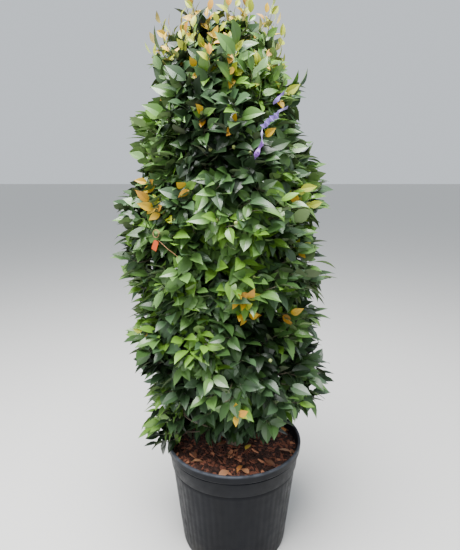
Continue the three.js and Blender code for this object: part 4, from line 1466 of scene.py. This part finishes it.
# Chips lie on faces that look up at least this much and lie less than this below the soil's edge
OPEN_LOOKS_UP, OPEN_DEPTH = 0.3, 0.03
WALL_GAP = 0.0008  # between the wall and the chips that lie against it
CHIP_RAGGED = (0.75, 0.5)  # the least part of its length, and what chance adds to it
# Each kind of chip: number, width and thickness as parts of its length, tilt and colour, and which
# settings give the amount and the length, times what
CHIPS = {
    "chips_dark": (0, 0.62, 0.22, 0.5, "dark", ("chips", 0.62), ("chip_size", 1.0)),
    "chips_red": (1, 0.58, 0.20, 0.6, "red", ("chips", 0.27), ("chip_size", 1.2)),
    "chips_tan": (2, 0.66, 0.20, 0.5, "tan", ("chips", 0.04), ("chip_size", 1.6)),
    "bark_fibres": (9, 0.06, 0.05, 0.35, "red", ("fibres", 1.0), ("fibre_size", 1.0)),
}
# Leaves that lie on the soil: across, deep, turn, tilt, size and colour
FALLEN = [
    (-0.045, -0.235, 0.6, 0.30, 0.060, "tan"), (0.045, -0.225, 2.1, 0.45, 0.052, "tan"),
    (0.020, -0.205, 4.0, 0.50, 0.045, "amber"), (0.060, -0.060, 1.1, 0.35, 0.050, "yellow"),
    (-0.175, -0.110, 5.2, 0.40, 0.050, "brown"), (-0.155, -0.150, 0.2, 0.25, 0.056, "tan"),
    (0.225, -0.075, 2.7, 0.30, 0.062, "tan"), (-0.060, -0.040, 3.4, 0.55, 0.048, "brown"),
    (0.150, -0.170, 5.8, 0.35, 0.050, "brown"), (-0.215, 0.060, 1.9, 0.30, 0.058, "tan"),
    (0.110, 0.190, 0.9, 0.35, 0.060, "brown"), (-0.080, 0.220, 4.4, 0.40, 0.056, "tan"),
    (0.230, 0.090, 3.1, 0.30, 0.054, "amber"), (-0.020, -0.120, 2.4, 0.50, 0.044, "brown"),
]
FALLEN_ROUGHNESS = 0.6
FALLEN_RISE = 0.10
FALLEN_ABOVE_SOIL = 0.012


def soil_height(x, y, unevenness):
    edge = clamp(math.hypot(x, y) / SOIL_SLOPES_TO) ** 2
    waves = 0
    for scale, start, part in SOIL_WAVES:
        waves += part * noise.noise(Vector((x * scale, y * scale, start)))
    return lerp(SOIL_TOP, SOIL_EDGE, edge) - SOIL_SINK + unevenness * waves


def soil_mesh(settings):
    """The compost: an uneven top, closed below by a plain body inside the pot."""
    edge = inner_wall(SOIL_EDGE) - SOIL_GAP
    low = POT_FLOOR + SOIL_GAP
    rows = [(edge * i / SOIL_RINGS, True) for i in range(SOIL_RINGS + 1)]
    rows += [(inner_wall(low) - SOIL_GAP, False), (0.0, False)]

    def point_at(row, angle):
        radius, on_top = row
        x, y = radius * math.cos(angle), radius * math.sin(angle)
        return x, y, soil_height(x, y, settings.roughness) if on_top else low

    return lathed("compost", rows, SOIL_SIDES, point_at)


def open_soil(mesh):
    """A copy of the soil's mesh that marks the faces of its upper side."""
    copy = mesh.copy()
    lowest = SOIL_EDGE - OPEN_DEPTH
    marks = [face.normal.z > OPEN_LOOKS_UP and face.center.z > lowest for face in copy.polygons]
    marked(copy, "open", "FACE", marks)
    return copy


def chip_mesh(name, wide, thick, seed):
    """A flat, angular chip of bark one unit long, a little ragged."""
    rng = random.Random(seed)
    least, more = CHIP_RAGGED

    def flatten(place):
        ragged = least + more * rng.random()
        place.x *= ragged
        place.y *= wide * ragged
        place.z *= thick

    return shaped_ball(name, flatten)


def keep_in_pot(mesh):
    """Pushes what would stick through the pot's wall back against its inside."""
    for vertex in mesh.vertices:
        ring = math.hypot(vertex.co.x, vertex.co.y)
        limit = inner_wall(min(vertex.co.z, POT_HEIGHT - LIP_HEIGHT)) - WALL_GAP
        if ring > limit:
            vertex.co.x *= limit / ring
            vertex.co.y *= limit / ring


def fallen_leaves(finish, settings):
    leaves = []
    for number, (x, y, turn, tilt, size, kind) in enumerate(FALLEN):
        if kind == finish:
            direction = (level(turn) + UP * FALLEN_RISE).normalized()
            lean = Vector((math.sin(3 * turn), math.cos(5 * turn), 0)) * tilt
            face = square_to(UP + lean, direction)
            height = soil_height(x, y, settings.roughness) + FALLEN_ABOVE_SOIL
            root = Vector((x, y, height)) - direction * size * 0.5
            leaves.append(Leaf(root, direction, face, size, number % len(LEAF_SHAPES), finish))
    return leaves


# Ribbons, tag and buds

# Each ribbon: finish, width, number of folds and the places that it runs through
RIBBONS = [
    ("lilac", 0.014, 2, ((0.166, -0.226, 1.929), (0.145, -0.244, 1.909), (0.125, -0.263, 1.885))),
    ("pale", 0.012, 1, ((0.179, -0.222, 1.880), (0.162, -0.238, 1.873), (0.143, -0.260, 1.861))),
    ("lilac", 0.023, 7, ((0.144, -0.262, 1.856), (0.114, -0.303, 1.831), (0.085, -0.343, 1.805))),
    ("pale", 0.007, 3, ((0.086, -0.340, 1.807), (0.081, -0.350, 1.781), (0.085, -0.355, 1.754))),
    ("violet", 0.017, 2, ((0.086, -0.355, 1.758), (0.072, -0.359, 1.733), (0.059, -0.361, 1.705))),
]
RIBBON_STEPS = 28
RIBBON_THICKNESS = 0.0003
RIBBON_LEAN = 0.6
RIBBON_WAVE = 0.12  # as a part of its width
RIBBON_NARROWS = 0.25
RIBBON_NARROWINGS = 0.7  # for each fold
TAG_CENTRE = Vector((-0.272, -0.346, 1.422))
TAG_SIZE = (0.021, 0.036, 0.0008)
TAG_CUT = 0.22  # of its upper corners, as a part of its width
TAG_TURN = math.radians(-22)
TAG_STRING = [
    Vector((-0.260, -0.348, 1.439)),
    Vector((-0.226, -0.362, 1.411)),
    Vector((-0.194, -0.373, 1.389)),
    Vector((-0.194, -0.362, 1.372)),
]
STRING_RADIUS = 0.0008
TIE_CENTRE = Vector((-0.265, -0.346, 1.462))
TIE_REACH = 0.013
TIE_RADIUS = 0.0010
TIE_POINTS = 22
TIE_POINTS_A_TURN = 18
TIE_PITCH = 0.0004  # how far each point lies in front of the one before
BUD_SHARE = 0.04  # part of the side's twigs that end in a bud
BUD_SIZE = 0.018
BUD_REACH = 1.3  # as a part of its size
BUD_WIDTH = 0.85  # as a part of the ball that it is made from
BUD_POINT = 0.45
BUD_SHIFT = 0.35
# Buds that show in front: across, up and how far inside the outline
SHOWN_BUDS = [(0.007, 1.498, 0.040), (0.129, 0.999, 0.010)]


def folded_ribbon(places, width, folds):
    """The points of a thin strip along a curve, crumpled into folds."""
    curve = [Vector(place) for place in places]
    tangent = (curve[2] - curve[0]).normalized()
    vertices = []
    for i in range(RIBBON_STEPS + 1):
        along = i / RIBBON_STEPS
        centre = curve_point(curve, along)
        outward = square_to(outward_at(centre), tangent)
        turn = along * folds * FULL_TURN
        side = tangent.cross(outward)
        lean = (side + outward * RIBBON_LEAN * math.cos(turn / 2)).normalized()
        middle = centre + outward * RIBBON_WAVE * width * math.sin(turn)
        narrows = RIBBON_NARROWS * (1 - math.cos(turn * RIBBON_NARROWINGS))
        half = width / 2 * (1 - narrows)
        face = tangent.cross(lean)
        for across, lift in ((-1, -1), (1, -1), (1, 1), (-1, 1)):
            vertices.append(middle + lean * across * half + face * lift * RIBBON_THICKNESS / 2)
    return vertices


def ribbon_mesh(finish):
    vertices = []
    faces = []
    for kind, width, folds, places in RIBBONS:
        if kind == finish:
            faces += tube_faces(RIBBON_STEPS + 1, 4, len(vertices))
            vertices += folded_ribbon(places, width, folds)
    mesh = mesh_of(f"ribbon_{finish}", vertices, faces, smooth=False)
    turn_outwards(mesh)
    return mesh


def tag_mesh():
    """A small plain tag that hangs aslant, with its upper corners cut."""
    wide, high, thick = TAG_SIZE
    cut = wide * TAG_CUT
    half = [(wide / 2, -high / 2), (wide / 2, high / 2 - cut), (wide / 2 - cut, high / 2)]
    corners = half + [(-x, z) for x, z in reversed(half)]
    outward = outward_at(TAG_CENTRE)
    side = UP.cross(outward)
    turn = Matrix.Rotation(TAG_TURN, 3, outward)
    vertices = []
    for lift in (-thick / 2, thick / 2):
        vertices += [TAG_CENTRE + turn @ (side * x + UP * z) + outward * lift for x, z in corners]
    mesh = mesh_of("tag", vertices, tube_faces(2, len(corners), 0), smooth=False)
    turn_outwards(mesh)
    return mesh


def tie_lines():
    """The tag's string and the ring that it is tied to a twig with."""
    outward = outward_at(TIE_CENTRE)
    side = UP.cross(outward)
    ring = []
    for i in range(TIE_POINTS):
        angle = FULL_TURN * i / TIE_POINTS_A_TURN
        around = side * math.cos(angle) + UP * math.sin(angle)
        ring.append(TIE_CENTRE + around * TIE_REACH + outward * TIE_PITCH * i)
    return [(ring, TIE_RADIUS, TIE_RADIUS), (TAG_STRING, STRING_RADIUS, STRING_RADIUS)]


def bud_mesh():
    """A closed flower bud one unit long, along Y: round, with a short point."""

    def point(place):
        slim = BUD_WIDTH - BUD_POINT * max(place.y, 0)
        place.x *= slim
        place.z *= slim
        place.y += BUD_SHIFT

    mesh = shaped_ball("bud", point)
    mesh.shade_smooth()
    return mesh


def buds_at_tips(sprays, twigs, rng):
    """The buds, in the same form as leaves, each at the tip of a twig."""
    buds = []
    for spray, (line, _, _) in zip(sprays, twigs):
        if spray.kind == "side" and rng.random() < BUD_SHARE:
            buds.append((line[-1], spray.growth))
    for x, z, back in SHOWN_BUDS:
        shown = front_spray(x, z, -back, rng)
        buds.append((shown.tip, shown.growth))
    return [
        Leaf(root, growth, square_to(UP, growth), BUD_SIZE, 0, "bud")
        for root, growth in buds
        if allowed(root + growth * BUD_SIZE * BUD_REACH)
    ]


# Operators


class CAMELLIA_OT_pot(bpy.types.Operator):
    """Makes the fluted nursery pot"""

    bl_idname = "camellia.pot"
    bl_label = "Pot"

    def execute(self, context):
        settings = context.scene.camellia_pot
        pot = new_piece("pot_shell", pot_mesh(settings), "pot", pot_plastic(settings))
        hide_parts("pot")
        return {"FINISHED"}


class CAMELLIA_OT_soil(bpy.types.Operator):
    """Fills the pot with compost and strews bark chips and fallen leaves on it"""

    bl_idname = "camellia.soil"
    bl_label = "Soil and bark chips"

    def execute(self, context):
        settings = context.scene.camellia_soil
        mesh = soil_mesh(settings)
        top = open_soil(mesh)
        compost = new_piece("compost", mesh, "soil", earth_surface(settings))
        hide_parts("soil")
        tree = chip_tree()
        for name in CHIPS:
            self.strew(name, settings, top, tree)
        self.drop_leaves(settings)
        return {"FINISHED"}

    def strew(self, name, settings, top, tree):
        number, wide, thick, tilt, tint, (many, part), (long, times) = CHIPS[name]
        chip = new_object(f"{name}_shape", chip_mesh(f"{name}_shape", wide, thick, number))
        values = {"chip": chip, "material": chip_surface(name, getattr(settings, tint))}
        values |= {"count": round(getattr(settings, many) * part), "size": getattr(settings, long) * times}
        values |= {"tilt": tilt, "seed": settings.seed + number}
        mesh = grown(tree, new_object(name, top.copy()), name, **values)
        keep_in_pot(mesh)
        new_piece(name, mesh, "soil")
        bpy.data.objects.remove(chip)

    def drop_leaves(self, settings):
        tree = leaf_tree()
        shapes = [new_object(name, leaf_mesh(name, *form)) for name, form in LEAF_FORMS.items()]
        for finish in dict.fromkeys(leaf[-1] for leaf in FALLEN):
            name = f"fallen_leaves_{finish}"
            materials = leaf_surfaces(name, getattr(settings, f"fallen_{finish}"), FALLEN_ROUGHNESS)
            leaves = fallen_leaves(finish, settings)
            new_piece(name, leaves_mesh(name, leaves, tree, shapes, materials), "leaves")
        for shape in shapes:
            bpy.data.objects.remove(shape)


class CAMELLIA_OT_wood(bpy.types.Operator):
    """Makes the trunk and the boughs, with the relief of their bark"""

    bl_idname = "camellia.wood"
    bl_label = "Trunk and boughs"

    def execute(self, context):
        settings = context.scene.camellia_wood
        bark = bark_surface(settings)
        trunk = new_piece("trunk_bark", trunk_mesh(settings), "bark", bark)
        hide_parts("trunk")
        boughs = new_piece("boughs_bark", boughs_mesh(tier_masses(), settings), "bark", bark)
        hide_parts(*BOUGH_NODES)
        return {"FINISHED"}


class CAMELLIA_OT_foliage(bpy.types.Operator):
    """Grows branches, twigs and leaves in the space of the foliage masses"""

    bl_idname = "camellia.foliage"
    bl_label = "Twigs and leaves"

    def execute(self, context):
        settings = context.scene.camellia_leaves
        rng = random.Random(settings.seed)
        sprays = side_sprays(settings, rng) + front_sprays(rng) + cap_sprays(rng)
        sprays += inner_sprays(settings, rng)
        sprays += foot_sprays(settings, rng)
        sprays += shoot_sprays(settings, rng)
        branches, twigs = grow([*tier_masses(), crest_mass()], sprays, settings)
        self.add_twigs(context.scene.camellia_wood, sprays, branches, twigs)
        leaves = defaultdict(list)
        for spray, (line, _, _) in zip(sprays, twigs):
            for leaf in spray_leaves(spray, line, settings, rng):
                leaves[leaf.finish].append(leaf)
        self.add_leaves(settings, leaves)
        self.add_buds(settings, buds_at_tips(sprays, twigs, rng))
        return {"FINISHED"}

    def add_twigs(self, wood, sprays, branches, twigs):
        tree = tube_tree()
        woody = twig_surface("twig_wood", wood.twig)
        green = twig_surface("shoot_stems", wood.young)
        old = [twig for spray, twig in zip(sprays, twigs) if spray.kind != "shoot"]
        young = [twig for spray, twig in zip(sprays, twigs) if spray.kind == "shoot"]
        for name, lines, sides, material in (
            ("branches", branches, BRANCH_SIDES, woody),
            ("twigs", old, TWIG_SIDES, woody),
            ("shoot_stems", young, TWIG_SIDES, green),
        ):
            piece = new_piece(name, lines_mesh(name, lines, tree, sides, material), "bark")
            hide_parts(*MASS_NODES)

    def add_leaves(self, settings, leaves):
        tree = leaf_tree()
        shapes = [new_object(name, leaf_mesh(name, *form)) for name, form in LEAF_FORMS.items()]
        for finish in sorted(leaves):
            name = f"leaves_{finish}"
            materials = leaf_surfaces(name, getattr(settings, finish), *LEAF_GLOSS[finish])
            piece = new_piece(name, leaves_mesh(name, leaves[finish], tree, shapes, materials), "leaves")
            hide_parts(*MASS_NODES)
        for shape in shapes:
            bpy.data.objects.remove(shape)

    def add_buds(self, settings, buds):
        material = Surface("buds", roughness=0.45, base=settings.bud).material
        shape = new_object("bud", bud_mesh())
        new_piece("buds", leaves_mesh("buds", buds, leaf_tree(), [shape] * 3, [material] * 2), "leaves")
        bpy.data.objects.remove(shape)


class CAMELLIA_OT_ties(bpy.types.Operator):
    """Adds the ribbons, the plain tag and its string"""

    bl_idname = "camellia.ties"
    bl_label = "Ribbons and tag"

    def execute(self, context):
        settings = context.scene.camellia_ties
        for finish in dict.fromkeys(ribbon[0] for ribbon in RIBBONS):
            name = f"ribbon_{finish}"
            cloth = Surface(name, roughness=0.55, base=getattr(settings, finish)).material
            new_piece(name, ribbon_mesh(finish), "leaves", cloth)
        plastic = Surface("tag", roughness=0.5, base=settings.tag).material
        new_piece("tag", tag_mesh(), "leaves", plastic)
        string = Surface("tie", roughness=0.7, base=settings.string).material
        tie = lines_mesh("tag_tie", tie_lines(), tube_tree(), BRANCH_SIDES, string)
        new_piece("tag_tie", tie, "leaves")
        return {"FINISHED"}


FLOOR_HALF = 60.0
LAMP_TARGET = Vector((0, 0, 1.2))
# The lamps: place, size and part of the lamp power
LAMPS = {
    "lamp_above": ((-0.5, -0.95, 4.6), 3.0, 1.0),
    "lamp_front": ((-1.8, -4.0, 2.6), 2.4, 0.10),
}
# The camera stands where the photographer stood, and looks down by the pitch in degrees
CAMERA_PLACE = (-0.0188, -1.8881, 1.6672)
CAMERA_PITCH = 12.71
CAMERA_LENS = 30.17
CAMERA_SENSOR = 36.0


class CAMELLIA_OT_stage(bpy.types.Operator):
    """Sets up the floor, the soft light and the camera"""

    bl_idname = "camellia.stage"
    bl_label = "Stage"

    def execute(self, context):
        settings = context.scene.camellia_stage
        self.add_floor(settings)
        self.light_world(context, settings)
        for name, (place, size, part) in LAMPS.items():
            self.add_lamp(name, Vector(place), size, settings.lamp_power * part)
        self.add_camera(context)
        return {"FINISHED"}

    def add_floor(self, settings):
        corners = [(x * FLOOR_HALF, y * FLOOR_HALF, 0) for x, y in ((-1, -1), (1, -1), (1, 1), (-1, 1))]
        floor = new_object("stage_floor", mesh_of("stage_floor", corners, [(0, 1, 2, 3)], smooth=False))
        paint = Surface("stage_floor", roughness=0.85, base=settings.floor)
        floor.data.materials.append(paint.material)

    def light_world(self, context, settings):
        world = bpy.data.worlds.new("soft_surroundings")
        world.use_nodes = True
        background = world.node_tree.nodes["Background"]
        background.inputs["Color"].default_value = (*settings.sky, 1.0)
        background.inputs["Strength"].default_value = settings.sky_strength
        context.scene.world = world

    def add_lamp(self, name, place, size, power):
        lamp = bpy.data.lights.new(name, "AREA")
        lamp.shape = "DISK"
        lamp.size = size
        lamp.energy = power
        light = new_object(name, lamp)
        light.location = place
        light.rotation_euler = (LAMP_TARGET - place).to_track_quat("-Z", "Y").to_euler()

    def add_camera(self, context):
        lens = bpy.data.cameras.new("camera")
        lens.lens = CAMERA_LENS
        lens.sensor_width = CAMERA_SENSOR
        camera = new_object("camera", lens)
        camera.location = CAMERA_PLACE
        camera.rotation_euler = (math.radians(90 - CAMERA_PITCH), 0, 0)
        context.scene.camera = camera


class CAMELLIA_PT_panel(bpy.types.Panel):
    """Lists the pieces and their settings"""

    bl_idname = "CAMELLIA_PT_panel"
    bl_label = "Potted camellia"
    bl_space_type = "VIEW_3D"
    bl_region_type = "UI"
    bl_category = "Camellia"

    def draw(self, context):
        for operator, label, _ in PIECES:
            column = self.layout.column(align=True)
            column.operator(operator.bl_idname)
            settings = getattr(context.scene, label)
            for name in settings.bl_rna.properties.keys():
                if name not in ("rna_type", "name"):
                    column.prop(settings, name)


# Each operator, the name of its settings on the scene and their group
PIECES = (
    (CAMELLIA_OT_pot, "camellia_pot", CamelliaPotSettings),
    (CAMELLIA_OT_soil, "camellia_soil", CamelliaSoilSettings),
    (CAMELLIA_OT_wood, "camellia_wood", CamelliaWoodSettings),
    (CAMELLIA_OT_foliage, "camellia_leaves", CamelliaLeafSettings),
    (CAMELLIA_OT_ties, "camellia_ties", CamelliaTieSettings),
    (CAMELLIA_OT_stage, "camellia_stage", CamelliaStageSettings),
)


def register():
    for operator, label, group in PIECES:
        bpy.utils.register_class(group)
        setattr(bpy.types.Scene, label, PointerProperty(type=group))
        bpy.utils.register_class(operator)
    bpy.utils.register_class(CAMELLIA_PT_panel)


def unregister():
    bpy.utils.unregister_class(CAMELLIA_PT_panel)
    for operator, label, group in PIECES:
        bpy.utils.unregister_class(operator)
        delattr(bpy.types.Scene, label)
        bpy.utils.unregister_class(group)


def main():
    register()
    bpy.ops.camellia.stage()
    bpy.ops.camellia.pot()
    bpy.ops.camellia.soil()
    bpy.ops.camellia.wood()
    bpy.ops.camellia.foliage()
    bpy.ops.camellia.ties()


if __name__ == "__main__":
    main()
